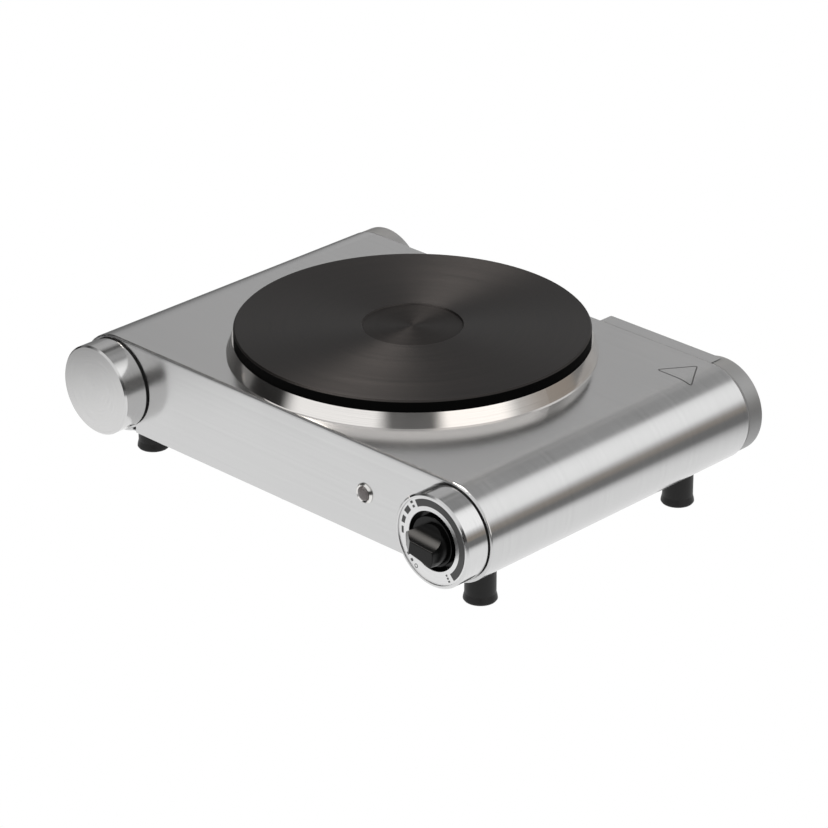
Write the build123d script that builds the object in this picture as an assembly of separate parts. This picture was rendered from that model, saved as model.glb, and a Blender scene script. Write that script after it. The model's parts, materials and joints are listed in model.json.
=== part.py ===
from build123d import *
import math
import os

# Electric hot plate: one cast-iron plate on a sheet-steel body whose two sides are rolled into
# round barrels.  Millimetres.  +X is the user's right, +Y is the back, +Z is up.  The origin is
# the middle of the footprint, on the table.

# ---------------------------------------------------------------- driving dimensions
BARREL_R = 26.6
BARREL_X = 121.6
DECK_Z = 70.8
AXIS_Z = DECK_Z - BARREL_R
SHEET = 0.8
CUT = 1.0
HEM_DEPTH = 6.0
HEM_ROUND = 1.2
REAR_HEM_ROUND = 0.4
BODY_DEPTH = 191.4
FRONT_REACH = 27.0
REAR_REACH = 11.7
FRONT_Y = -(FRONT_REACH + BODY_DEPTH + REAR_REACH) / 2 + FRONT_REACH
REAR_Y = FRONT_Y + BODY_DEPTH
BASE_Z = 19.9
WRAP_END_X = 110.6
ON_SURFACE = 0.01
FOOT_HOLE_R = 2.1
PANEL_GAP = 0.15
PANEL_SIDE_X = 108.0
BASE_SCREW_X = (-90.0, 0.0, 90.0)
FLANGE_DEPTH = 10.0
FLANGE_INSET = 6.0
ENTRY_HOLE_R = 9.0
BASE_GAP = 0.2
BASE_SIDE_FRONT = 44.0
BASE_SIDE_REAR = 12.0
BASE_SIDE_HEIGHT = 7.0
BASE_SCREW_R = 1.5
BASE_SCREW_LENGTH = 7.0
BASE_HEAD_R = 3.0
BASE_HEAD_THICK = 1.8
SLOT_HALF = 0.4
SLOT_DEPTH = 0.7
CROSS_DEPTH = 0.7
REAR_VENTS = 9
REAR_VENT_X = -72.0
REAR_VENT_PITCH = 9.0
REAR_VENT_LENGTH = 26.0
REAR_VENT_WIDTH = 3.0
BASE_VENT_ROWS = 3
BASE_VENT_COLUMNS = 9
BASE_VENT_PITCH = 12.0
BASE_VENT_ROW_PITCH = 42.0
BASE_VENT_LENGTH = 30.0
BASE_VENT_WIDTH = 3.4

PLATE_Y = FRONT_Y + 96.9
PLATE_R = 92.5
PLATE_TOP_Z = 84.9
PLATE_SIDE_Z = 77.9
PLATE_WEB_Z = 76.4
PLATE_SKIRT_R = 89.0
PLATE_SKIRT_WALL = 5.0
PLATE_SKIRT_Z = 66.5
PLATE_EDGE = 0.8
RECESS_SLOPE = 0.6
STUD_BOSS_R = 11.0
STUD_TOP_Z = 79.0
RECESS_R = 26.5
RECESS_DEPTH = 0.8
RIM_TOP_Z = 78.9
RIM_TOP_R = 93.3
RIM_FOOT_R = 96.3
RIM_WALL = 0.6
RIM_HOLE_GAP = 0.2
RIM_SHELF_INSET = 2.0
RIM_BEND = 1.0
DECK_HOLE_R = 90.6
RIB_RADII = (31.5, 57.5)
RIB_HALF = 1.5
COIL_RADII = (44.5, 71.5)
COIL_WIRE_R = 2.2
COIL_Z = 73.6
CEMENT_Z = 70.5
COVER_DISC_Z = 67.0
DISC_GAP = 0.1
DISC_RING = (38.0, 62.0)
DISC_RING_SLOPE = 2.0
DISC_RING_RISE = 1.5
STUD_R = 4.0
STUD_GAP = 0.2
STUD_TAIL = 12.0
STUD_CHAMFER = 0.8
SLEEVE_R = 7.0
STRAP_Z = 58.0
STRAP_THICK = 2.0
STRAP_WIDTH = 22.0
STRAP_STEP_X = 93.0
STRAP_FOOT_X = 104.0
STRAP_SLOPE = 1.0
WINDOW_GAP = 1.0
WASHER_R = 9.0
WASHER_THICK = 1.6
NUT_FLATS = 13.0
NUT_HEIGHT = 6.5
COIL_SWEEP = 330.0
COIL_START = 15.0
SHIELD_THICK = 0.6
SHIELD_R = 86.0
TERMINAL_WINDOW_X = (31.0, 69.0)
WINDOW_HALF = 11.0
TERMINAL_BLOCK_X = (34.0, 66.0)
TERMINAL_BLOCK_HALF = 7.0
TERMINAL_BLOCK_Z = 54.0
TERMINAL_PITCH = 10.0
TERMINAL_TOP_Z = 60.0
TERMINAL_TIP_Z = 46.0
TERMINAL_HOLE_Z = 49.0
TERMINAL_HOLE_R = 0.8
FUSE_PLACE = (-40.0, PLATE_Y + 34.0)
FUSE_HALF = (8.0, 4.0)
FUSE_HEIGHT = 6.0
FUSE_LEAD_R = 0.8
FUSE_LEAD_LENGTH = 26.0

CAP_X = BARREL_X + 0.6
CAP_Z = AXIS_Z + 0.35
CAP_R = 24.5
REAR_CAP_R = 25.7
CAP_WALL = 1.6
CAP_BEVEL = 0.9
CAP_FACE = 15.0
SEAL_THICK = 1.2
SEAL_R = 23.6
SEAL_WIDTH = 0.9
REAR_SEAL_R = 25.6
CAP_BOSS_X = 19.6
CAP_BOSS_R = 3.0
CAP_SCREW_R = 1.5
CAP_SCREW_FRONT = 8.0
CAP_SCREW_REAR = 7.0
CAP_HEAD_R = 2.8
CAP_HEAD_THICK = 1.8

DIAL_R = 22.7
DIAL_GAP = 0.05
DIAL_THICK = 0.5
DIAL_FLOOR = 13.9
WELL_BORE_R = 15.7
WELL_R = 16.5
WELL_WALL = 0.8
WELL_FLOOR = 10.4
WELL_HUB_R = 7.0
KNOB_R = 13.1
KNOB_BACK = 10.9
KNOB_FACE = 14.6
KNOB_EDGE_ROUND = 0.4
KNOB_HUB_R = 6.0
KNOB_HUB_END = 4.5
KNOB_BORE_END = 22.0
KNOB_BORE_GAP = 0.01
KNOB_OVERLAP = 0.2
CLIP_THICK = 0.8
CLIP_FRONT = 9.5
CLIP_BACK = 6.0
CLIP_GAP_HALF = 1.5
GRIP_TAIL_R = 10.5
GRIP_TAIL_X = 2.0
GRIP_HALF = 3.7
GRIP_TAPER = 4.0
GRIP_SCOOP_R = 12.4
GRIP_NOSE = 12.9
GRIP_NOSE_R = 2.2
GRIP_NOSE_TOP = 19.5
GRIP_CREST = 3.3
GRIP_CREST_ROUND = 0.5
POINTER_ANGLE = 8.0
SPINDLE_R = 3.0
SPINDLE_FRONT = 21.9
SPINDLE_STEP = 9.4
SPINDLE_END_R = 2.2
SPINDLE_COLLAR_R = 4.0
SPINDLE_COLLAR = (8.9, 9.9)

BRACKET_THICK = 1.2
BUSH_R = 5.0
BRACKET_HALF = 22.6
BRACKET_HALF_HEIGHT = 6.5
CLEARANCE = 0.05
BUSH_FRONT = 2.5
BUSH_END = 6.9
BUSH_END_GAP = 0.1
BUSH_COLLAR_R = 7.0
BODY_START = 3.2
BODY_END = 26.0
BODY_FLOOR = 8.2
BODY_HALF = 13.0
BODY_INSIDE_HALF = 10.0
BODY_LOW = 12.0
BODY_HIGH = 11.0
BODY_INSIDE_LOW = 8.0
COLLAR_SPACE_R = 4.4
GUIDE_HALF = 7.0
GUIDE_SPAN = (13.4, 15.6)
GUIDE_HIGH = 5.0
CONTROL_HOLE_R = 12.0
SCREW_HOLE_R = 1.7
PIN_START = 12.6
PIN_LENGTH = 4.8
PIN_R = 1.5
PIN_GAP = 0.4
ARM_Y = PIN_START + PIN_LENGTH + PIN_GAP
ARM_THICK = 0.5
ARM_HALF = 3.0
ARM_ROOT_Z = CAP_Z - 7.6
ARM_TOP_Z = CAP_Z + 9.0
CONTACT_Z = CAP_Z + 6.5
CONTACT_R = 1.8
CONTACT_REACH = 1.4
CONTACT_THICK = 0.8
FIXED_CONTACT_Y = ARM_Y + 2.7
FIXED_HALF = 4.0
FIXED_LOW = 7.9
FIXED_HIGH = 10.0
BIMETAL_FACE = 9.5
BIMETAL_THICK = 0.8
BIMETAL_SPAN = (9.0, 25.0)
BIMETAL_LOW = 6.0
BIMETAL_HIGH = 4.0
BIMETAL_ROOT = 22.0
BIMETAL_ROOT_LOW = 4.0
BIMETAL_ROOT_HIGH = 2.0
BLADE_HALF = 3.15
BLADE_THICK = 0.8
THERMO_BLADE_X = 7.0
THERMO_BLADE_Y = 14.0
THERMO_BLADE_TIP = 20.0

LAMP_X = 62.0
LAMP_Z = AXIS_Z
LAMP_BODY_R = 4.6
LAMP_HOLE_R = 4.8
LAMP_DEPTH = 24.0
LAMP_TAB_END = 30.0
LAMP_TAB_Z = 2.0
LAMP_TAB_HALF = (1.4, 0.3)
LAMP_CLIP_R = 8.0
LAMP_CLIP_THICK = 1.0
LENS_R = 3.8
LENS_GAP = 0.05
LENS_SHOULDER = 1.0
LENS_DOME = ((0.0, 2.8), (1.6, 2.65), (2.8, 2.2), (3.5, 1.6))
BEZEL_R = 5.4
BEZEL_PROFILE = ((0.0, 0.0), (0.0, 0.5), (0.6, 1.2))
BEZEL_CREST = (0.7, 1.5)
BEZEL_INNER = 1.2

FOOT_X = 121.8
FOOT_FRONT = 20.1
FOOT_REAR = 167.9
FOOT_R = 8.0
FOOT_FLARE_R = 8.7
FRONT_LEFT_FOOT_SHIFT = (1.4, 2.8)
FOOT_OVERLAP = 3.2
FOOT_BORE_R = 2.2
FOOT_FLOOR = ((2.2, 9.0), (5.0, 6.0), (5.0, 1.2), (6.4, 0.0))
FOOT_LIP = ((0.5, 0.0), (0.0, 0.7), (0.1, 1.6))
FOOT_NECK = 4.2
FOOT_TOP_FLARE = 0.7
FOOT_SCREW_R = 2.0
FOOT_SCREW_STEP = 7.0
FOOT_SCREW_TAIL = 6.0
FOOT_HEAD_R = 3.8
FOOT_HEAD = (2.6, 5.6)
FOOT_SLOT_TOP = 3.6
FOOT_SLOT_HALF = 0.5
FOOT_NUT_FLATS = 7.0
FOOT_NUT = (0.6, 3.8)
FOOT_NUT_GAP = 0.2

COVER_LEFT = 44.0
COVER_DEPTH = 8.4
COVER_ROUND = 2.4
COVER_CORNER_ROUND = 3.0
COVER_HOLLOW_GAP = 0.25
COVER_BOTTOM = 24.0
COVER_SCREW_R = 1.4
COVER_SCREW_TAIL = 4.0
COVER_HEAD_R = 2.8
COVER_HEAD_THICK = 1.4
COVER_POST_R = 3.0
COVER_POST_X = 6.0
COVER_POST_HIGH = 8.0
COVER_POST_LOW = 7.0
COVER_POST_RIGHT = 88.0
GROMMET_X = 68.0
GROMMET_Z = 42.0
GROMMET_BORE_R = 3.6
GROMMET_NECK_R = 6.0
GROMMET_FLANGE_R = 8.5
GROMMET_INSIDE = 2.0
GROMMET_OUTSIDE = 2.4
GROMMET_CHAMFER = 0.8
MAINS_BLOCK_X = (52.0, 84.0)
MAINS_BLOCK_BACK = (158.0, 174.0)
MAINS_BLOCK_Z = (BASE_Z + SHEET, BASE_Z + SHEET + 14.0)
MAINS_POLES = 3
MAINS_BORE_Z = MAINS_BLOCK_Z[0] + 5.0
MAINS_BORE_R = 2.0
POLE_SCREW_R = 1.8
POLE_SCREW_Y = 4.0
POLE_SCREW_LOW = 7.5
POLE_SCREW_SUNK = 0.6
BLOCK_SCREW_R = 1.4
BLOCK_HEAD_R = 2.4
BLOCK_HEAD_THICK = 1.4
EARTH_PLACE = (32.0, REAR_Y - 5.2)
EARTH_TAG_R = 4.0
EARTH_TAG_HALF = 2.5
EARTH_TAG_LENGTH = 13.0
EARTH_TAG_THICK = 0.8
EARTH_HOLE_R = 2.05
EARTH_FLATS = 7.0
EARTH_HEIGHT = 2.8
WIRE_R = 1.1
WIRE_GAP = 0.05
WIRE_BEND = 5.0
LAMP_WIRE_BEND = 4.0
WIRE_LOW_Z = 32.0
SWITCHED_Z = 34.0
LIVE_RUN_X = 104.0
SWITCHED_RUN_X = 98.0
LAMP_RUN_X = 74.0
RUN_FRONT = 40.0
LEAD_OUT = 14.0
LIVE_SWEEP = 30.0
LIVE_DROP = 12.0
WIRE_RISE = 1.0
SWITCHED_DROP = 9.0
SWITCHED_END = 16.0
SWITCHED_END_Z = 38.0
NEUTRAL_TURN = 40.0
NEUTRAL_END = 14.0
NEUTRAL_END_Z = 36.0
LAMP_LIVE_SHIFT = 4.0
LAMP_LIVE_TURN = 26.0
LAMP_LIVE_Z = 44.0
LAMP_LIVE_END = 10.0
LAMP_LIVE_END_Z = 41.0
LAMP_SWEEP = 30.0
LAMP_RUN_Z = 30.0
LAMP_LEAD_OUT = 20.0

os.makedirs("parts", exist_ok=True)


# ---------------------------------------------------------------- shape helpers
def back(distance):
    """The Y of a point that far behind the face of the front panel."""
    return FRONT_Y + distance


def block(x_span, y_span, z_span):
    size = [high - low for low, high in (x_span, y_span, z_span)]
    centre = [(high + low) / 2 for low, high in (x_span, y_span, z_span)]
    return Pos(*centre) * Box(*size)


def rod_y(radius, y_span, x=0.0, z=0.0):
    low, high = y_span
    return Pos(x, (low + high) / 2, z) * Rot(90, 0, 0) * Cylinder(radius, high - low)


def rod_z(radius, z_span, x=0.0, y=0.0):
    low, high = z_span
    return Pos(x, y, (low + high) / 2) * Cylinder(radius, high - low)


def turned_z(outline, x=0.0, y=0.0):
    """Turn an outline of (radius, height) points about a vertical axis."""
    face = make_face(Polyline(*[(r, 0, z) for r, z in outline], close=True))
    return Pos(x, y, 0) * revolve(face, Axis.Z)


def turned_y(outline, x=0.0, z=0.0):
    """Turn an outline of (radius, y) points about an axis that runs front to back."""
    face = make_face(Polyline(*[(r, y, 0) for r, y in outline], close=True))
    return Pos(x, 0, z) * revolve(face, Axis.Y)


def along_y(outline, y_span):
    """Extrude an outline drawn in X and Z from the first Y to the second."""
    low, high = y_span
    return extrude(Plane.XZ.offset(-low) * outline, amount=high - low, dir=(0, 1, 0))


def hexagon_z(across_flats, z_span, x=0.0, y=0.0):
    low, high = z_span
    outline = RegularPolygon(across_flats / math.sqrt(3), 6)
    return Pos(x, y, low) * extrude(outline, amount=high - low)


def tube(points, radius, bends):
    """A round wire along straight runs joined by tangent arcs."""
    path = FilletPolyline(*points, radius=bends)
    section = Plane(origin=path @ 0, z_dir=path % 0) * Circle(radius)
    return sweep(section, path=path)


def screw_y(x, z, head_y, tip_y, shank_r, head_r, head_thick):
    """A pan-head screw that runs from its head towards its tip, front to back or back to front."""
    direction = 1 if tip_y > head_y else -1
    head = rod_y(head_r, sorted((head_y - direction * head_thick, head_y)), x, z)
    shank = rod_y(shank_r, sorted((head_y, tip_y)), x, z)
    slot_y = head_y - direction * head_thick
    slot_span = sorted((slot_y, slot_y + direction * SLOT_DEPTH))
    slot = block((x - head_r, x + head_r), slot_span, (z - SLOT_HALF, z + SLOT_HALF))
    return head + shank - slot


# ---------------------------------------------------------------- sheet-steel body
def barrel_outline(inset):
    """The body's section, seen from the front: two circles under one flat top."""
    radius = BARREL_R - inset
    left = Pos(-BARREL_X, AXIS_Z) * Circle(radius)
    right = Pos(BARREL_X, AXIS_Z) * Circle(radius)
    middle = Pos(0, AXIS_Z + radius / 2) * Rectangle(2 * BARREL_X, radius)
    return left + middle + right


def housing_shell():
    """Deck and both barrels, rolled from one sheet, with a hemmed front and rear edge."""
    open_bottom = Pos(0, AXIS_Z / 2) * Rectangle(2 * WRAP_END_X, AXIS_Z)
    sheet = barrel_outline(0) - barrel_outline(SHEET) - open_bottom
    hem = barrel_outline(0) - barrel_outline(2 * SHEET) - open_bottom
    shell = along_y(sheet, (FRONT_Y, REAR_Y))
    shell += along_y(hem, (FRONT_Y, FRONT_Y + HEM_DEPTH))
    shell += along_y(hem, (REAR_Y - HEM_DEPTH, REAR_Y))
    for end, radius in ((-1, REAR_HEM_ROUND), (0, HEM_ROUND)):
        end_edges = shell.edges().group_by(Axis.Y)[end]
        shell = fillet([edge for edge in end_edges if is_on_outline(edge)], radius)
    shell -= rod_z(DECK_HOLE_R, (DECK_Z - 2 * SHEET - CUT, DECK_Z + CUT), 0, PLATE_Y)
    for x, y in foot_places().values():
        shell -= rod_z(FOOT_HOLE_R, (0, AXIS_Z), x, y)
    return shell


def is_on_outline(edge):
    """True for an end edge that lies on the body's outer surface."""
    middle = edge @ 0.5
    if abs(middle.X) <= BARREL_X and middle.Z > AXIS_Z:
        return abs(middle.Z - DECK_Z) < ON_SURFACE
    reach = math.hypot(abs(middle.X) - BARREL_X, middle.Z - AXIS_Z)
    return abs(reach - BARREL_R) < ON_SURFACE


def end_panel(y_span):
    """A flat panel that closes one end of the body, inside the hem."""
    radius = BARREL_R - 2 * SHEET - PANEL_GAP
    top = AXIS_Z + radius
    left = Pos(-BARREL_X, AXIS_Z) * Circle(radius)
    right = Pos(BARREL_X, AXIS_Z) * Circle(radius)
    upper = Pos(0, (AXIS_Z + top) / 2) * Rectangle(2 * BARREL_X, top - AXIS_Z)
    lower = Pos(0, (AXIS_Z + BASE_Z) / 2) * Rectangle(2 * PANEL_SIDE_X, AXIS_Z - BASE_Z)
    return along_y(left + right + upper + lower, y_span)


def panel_flange(y_span):
    """The strip turned in along a panel's lower edge, which the base is screwed to."""
    half = PANEL_SIDE_X - FLANGE_INSET
    z_span = (BASE_Z + SHEET, BASE_Z + 2 * SHEET)
    flange = block((-half, half), y_span, z_span)
    for x in BASE_SCREW_X:
        flange -= rod_z(BASE_SCREW_R, (z_span[0] - CUT, z_span[1] + CUT), x, (y_span[0] + y_span[1]) / 2)
    return flange


def front_panel():
    panel = end_panel((FRONT_Y, FRONT_Y + SHEET))
    panel += panel_flange((FRONT_Y + SHEET / 2, FRONT_Y + FLANGE_DEPTH))
    for side in (-1, 1):
        panel -= cap_screw_holes(side)
    through = (FRONT_Y - CUT, FRONT_Y + SHEET + CUT)
    panel -= rod_y(CONTROL_HOLE_R, through, CAP_X, CAP_Z)
    panel -= rod_y(LAMP_HOLE_R, through, LAMP_X, LAMP_Z)
    return panel


def rear_panel():
    """Closes the back, with a row of upright vents and the hole that the mains leads pass."""
    panel = end_panel((REAR_Y - SHEET, REAR_Y))
    panel += panel_flange((REAR_Y - FLANGE_DEPTH, REAR_Y - SHEET / 2))
    for side in (-1, 1):
        panel -= cap_screw_holes(side)
    through = (REAR_Y - SHEET - CUT, REAR_Y + CUT)
    for index in range(REAR_VENTS):
        x = REAR_VENT_X + index * REAR_VENT_PITCH
        slot = Pos(x, AXIS_Z) * SlotOverall(REAR_VENT_LENGTH, REAR_VENT_WIDTH, rotation=90)
        panel -= along_y(slot, through)
    panel -= rod_y(ENTRY_HOLE_R, through, GROMMET_X, GROMMET_Z)
    for x, z in cover_screw_places():
        panel -= rod_y(COVER_SCREW_R, through, x, z)
    return panel


def cap_screw_holes(side):
    """Cutting rods for a barrel's two cap screws, from one end of the body to the other."""
    span = (FRONT_Y - CUT, REAR_Y + CUT)
    x = side * CAP_X
    return Compound([rod_y(SCREW_HOLE_R, span, x + dx, CAP_Z) for dx in (-CAP_BOSS_X, CAP_BOSS_X)])


def base_plate():
    """The closing plate underneath, with turned-up sides and rows of vents."""
    low, high = FRONT_Y + SHEET + BASE_GAP, REAR_Y - SHEET - BASE_GAP
    half = WRAP_END_X - BASE_GAP
    through = (BASE_Z - CUT, BASE_Z + SHEET + CUT)
    plate = block((-half, half), (low, high), (BASE_Z, BASE_Z + SHEET))
    for side in (-1, 1):
        edges = sorted((side * half, side * (half - SHEET)))
        side_span = (low + BASE_SIDE_FRONT, high - BASE_SIDE_REAR)
        plate += block(edges, side_span, (BASE_Z, BASE_Z + BASE_SIDE_HEIGHT))
    for row in range(BASE_VENT_ROWS):
        for column in range(BASE_VENT_COLUMNS):
            x = (column - (BASE_VENT_COLUMNS - 1) / 2) * BASE_VENT_PITCH
            y = PLATE_Y + (row - (BASE_VENT_ROWS - 1) / 2) * BASE_VENT_ROW_PITCH
            slot = SlotOverall(BASE_VENT_LENGTH, BASE_VENT_WIDTH, rotation=90)
            plate -= Pos(x, y, through[0]) * extrude(slot, amount=through[1] - through[0])
    for x in BASE_SCREW_X:
        for y in base_screw_rows():
            plate -= rod_z(SCREW_HOLE_R, through, x, y)
    for x, y in block_screw_places():
        plate -= rod_z(BLOCK_SCREW_R, through, x, y)
    return plate


def base_screw_rows():
    return (FRONT_Y + (SHEET / 2 + FLANGE_DEPTH) / 2, REAR_Y - (SHEET / 2 + FLANGE_DEPTH) / 2)


def base_screws():
    """Six self-tapping screws, driven up through the base into the panels' flanges."""
    screws = []
    for x in BASE_SCREW_X:
        for y in base_screw_rows():
            bottom = BASE_Z - BASE_HEAD_THICK
            head = rod_z(BASE_HEAD_R, (bottom, BASE_Z), x, y)
            cross_span = (bottom - CUT, bottom + CROSS_DEPTH)
            wide = (x - BASE_HEAD_R, x + BASE_HEAD_R)
            deep = (y - BASE_HEAD_R, y + BASE_HEAD_R)
            head -= block(wide, (y - SLOT_HALF, y + SLOT_HALF), cross_span)
            head -= block((x - SLOT_HALF, x + SLOT_HALF), deep, cross_span)
            shank = rod_z(BASE_SCREW_R, (BASE_Z, BASE_Z + BASE_SCREW_LENGTH), x, y)
            screws.append(head + shank)
    return Compound(screws)


# ---------------------------------------------------------------- barrel end caps and seals
def cap_bosses(x, y_span):
    bosses = []
    for dx in (-CAP_BOSS_X, CAP_BOSS_X):
        boss = rod_y(CAP_BOSS_R, y_span, x + dx, CAP_Z)
        bosses.append(boss)
    return bosses


def cap_bores(x, y_span):
    return [rod_y(CAP_SCREW_R, y_span, x + dx, CAP_Z) for dx in (-CAP_BOSS_X, CAP_BOSS_X)]


def plain_cap(side, end_y, reach):
    """A drawn steel cup that stands off one end of a barrel.  A negative reach points forward."""
    way = 1 if reach > 0 else -1
    radius = REAR_CAP_R if reach > 0 else CAP_R
    face = end_y + reach
    rim = face - way * CAP_BEVEL
    foot = end_y + way * SEAL_THICK
    floor = face - way * CAP_WALL
    outline = [(0, face), (radius - CAP_BEVEL, face), (radius, rim), (radius, foot),
               (radius - CAP_WALL, foot), (radius - CAP_WALL, floor), (0, floor)]
    cap = turned_y(outline, side * CAP_X, CAP_Z)
    for boss in cap_bosses(side * CAP_X, sorted((end_y, floor))):
        cap += boss
    for bore in cap_bores(side * CAP_X, sorted((end_y, floor))):
        cap -= bore
    return cap


def control_cap():
    """The front right cap: a raised lip round the dial, and a hole for the knob's well."""
    x = CAP_X
    face = back(-CAP_FACE)
    dial_floor = back(-DIAL_FLOOR)
    floor = dial_floor + CAP_WALL
    foot = back(-SEAL_THICK)
    outline = [(WELL_R, dial_floor), (DIAL_R + DIAL_GAP, dial_floor), (DIAL_R + DIAL_GAP, face),
               (CAP_R - CAP_BEVEL, face), (CAP_R, face + CAP_BEVEL), (CAP_R, foot),
               (CAP_R - CAP_WALL, foot), (CAP_R - CAP_WALL, floor), (WELL_R, floor)]
    cap = turned_y(outline, x, CAP_Z)
    for boss in cap_bosses(x, (floor, FRONT_Y)):
        cap += boss
    for bore in cap_bores(x, (floor, FRONT_Y)):
        cap -= bore
    return cap


def cap_seal(side, end_y, way):
    """The ring between a cap and the end of the body: set back in front, nearly flush at the rear."""
    span = sorted((end_y, end_y + way * SEAL_THICK))
    x = side * CAP_X
    radius = REAR_SEAL_R if way > 0 else SEAL_R
    return rod_y(radius, span, x, CAP_Z) - rod_y(SEAL_R - SEAL_WIDTH, span, x, CAP_Z)


def cap_screws():
    """Two screws to each cap, driven from inside the body."""
    screws = []
    for side in (-1, 1):
        for dx in (-CAP_BOSS_X, CAP_BOSS_X):
            x = side * CAP_X + dx
            front_head = FRONT_Y + SHEET + (BRACKET_THICK if side > 0 else 0)
            front_span = (front_head, FRONT_Y - CAP_SCREW_FRONT)
            rear_span = (REAR_Y - SHEET, REAR_Y + CAP_SCREW_REAR)
            for head_y, tip_y in (front_span, rear_span):
                screws.append(screw_y(x, CAP_Z, head_y, tip_y, CAP_SCREW_R, CAP_HEAD_R, CAP_HEAD_THICK))
    return Compound(screws)


# ---------------------------------------------------------------- control: dial, knob, thermostat
def dial_plate():
    face, floor = back(-DIAL_FLOOR - DIAL_THICK), back(-DIAL_FLOOR)
    disc = rod_y(DIAL_R, (face, floor), CAP_X, CAP_Z)
    return disc - rod_y(WELL_BORE_R, (face - CUT, floor + CUT), CAP_X, CAP_Z)


def knob_well():
    """The black cup that the knob turns in, open in front and bored for the knob's hub."""
    mouth, floor = back(-DIAL_FLOOR), back(-WELL_FLOOR)
    behind = floor + WELL_WALL
    outline = [(WELL_BORE_R, mouth), (WELL_R, mouth), (WELL_R, behind), (WELL_HUB_R, behind),
               (WELL_HUB_R, floor), (WELL_BORE_R, floor)]
    return turned_y(outline, CAP_X, CAP_Z)


def on_control_axis(shape):
    """Turn a shape drawn with its pointer along -X to the rest setting, and put it on the axis."""
    return Pos(CAP_X, 0, CAP_Z) * Rot(0, POINTER_ANGLE, 0) * shape


def grip_outline():
    """The grip, seen from the front: a round tail, and straight sides that run to a narrow nose."""
    tail = Pos(GRIP_TAIL_X, 0) * Circle(GRIP_TAIL_R)
    nose = Pos(GRIP_NOSE_R - GRIP_NOSE, 0) * Circle(GRIP_NOSE_R)
    return make_hull(tail.edges() + nose.edges())


def nose_slope(front):
    """The wedge that is cut off the grip's front so that it slopes down to the nose."""
    clear = front - CUT
    wedge = Polyline((-GRIP_CREST, front), (-GRIP_NOSE, back(-GRIP_NOSE_TOP)), (-GRIP_NOSE, clear),
                     (-GRIP_CREST, clear), close=True)
    return Pos(0, 0, -KNOB_R) * extrude(make_face(wedge), amount=2 * KNOB_R)


def knob():
    """A flat disc with a tapered grip: scooped flanks, and a front that slopes down to the nose."""
    front, face, disc_back = back(-FRONT_REACH), back(-KNOB_FACE), back(-KNOB_BACK)
    disc = rod_y(KNOB_R, (face, disc_back))
    disc = fillet(disc.edges().group_by(Axis.Y)[0], KNOB_EDGE_ROUND)
    grip = along_y(grip_outline(), (front, face + KNOB_OVERLAP))
    for side in (-1, 1):
        scoop = Rot(0, 90, 0) * Cylinder(GRIP_SCOOP_R, 4 * KNOB_R)
        offset = side * (GRIP_HALF + GRIP_SCOOP_R)
        grip -= Pos(0, front, offset) * Rot(0, -side * GRIP_TAPER, 0) * scoop
    grip -= nose_slope(front)
    crest = grip.edges().filter_by(lambda e: (e @ 0.5).Y < front + ON_SURFACE)
    grip = fillet(crest, GRIP_CREST_ROUND)
    hub = rod_y(KNOB_HUB_R, (disc_back - KNOB_OVERLAP, back(-KNOB_HUB_END)))
    bore = rod_y(SPINDLE_R + KNOB_BORE_GAP, (back(-KNOB_BORE_END), back(-KNOB_HUB_END)))
    return on_control_axis(disc + grip + hub - bore)


def knob_clip():
    """The split spring ring that grips the knob's hub."""
    span = (back(-CLIP_FRONT), back(-CLIP_BACK))
    ring = rod_y(KNOB_HUB_R + CLIP_THICK, span) - rod_y(KNOB_HUB_R, span)
    split = block((-CLIP_GAP_HALF, CLIP_GAP_HALF), (span[0] - CUT, span[1] + CUT), (0, 2 * KNOB_HUB_R))
    return on_control_axis(ring - split)


def spindle():
    """The thermostat's shaft: a round journal in the bush, then a thinner adjusting end."""
    shaft = rod_y(SPINDLE_R, (back(-SPINDLE_FRONT), back(SPINDLE_STEP)))
    shaft += rod_y(SPINDLE_END_R, (back(SPINDLE_STEP), back(PIN_START - PIN_GAP)))
    shaft += rod_y(SPINDLE_COLLAR_R, [back(distance) for distance in SPINDLE_COLLAR])
    return on_control_axis(shaft)


def thermostat_bracket():
    """The strap that carries the thermostat, clamped by the control cap's two screws."""
    low, high = FRONT_Y + SHEET, FRONT_Y + SHEET + BRACKET_THICK
    z_span = (CAP_Z - BRACKET_HALF_HEIGHT, CAP_Z + BRACKET_HALF_HEIGHT)
    strap = block((CAP_X - BRACKET_HALF, CAP_X + BRACKET_HALF), (low, high), z_span)
    through = (low - CUT, high + CUT)
    strap -= rod_y(BUSH_R + CLEARANCE, through, CAP_X, CAP_Z)
    for dx in (-CAP_BOSS_X, CAP_BOSS_X):
        strap -= rod_y(SCREW_HOLE_R, through, CAP_X + dx, CAP_Z)
    return strap


def thermostat_bush():
    """The brass bearing that the spindle turns in."""
    bush = rod_y(BUSH_R, (back(-BUSH_FRONT), back(BUSH_END)), CAP_X, CAP_Z)
    bush += rod_y(BUSH_COLLAR_R, (back(SHEET + BRACKET_THICK), back(BODY_START)), CAP_X, CAP_Z)
    through = (back(-BUSH_FRONT - CUT), back(BUSH_END + CUT))
    return bush - rod_y(SPINDLE_R + CLEARANCE, through, CAP_X, CAP_Z)


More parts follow.
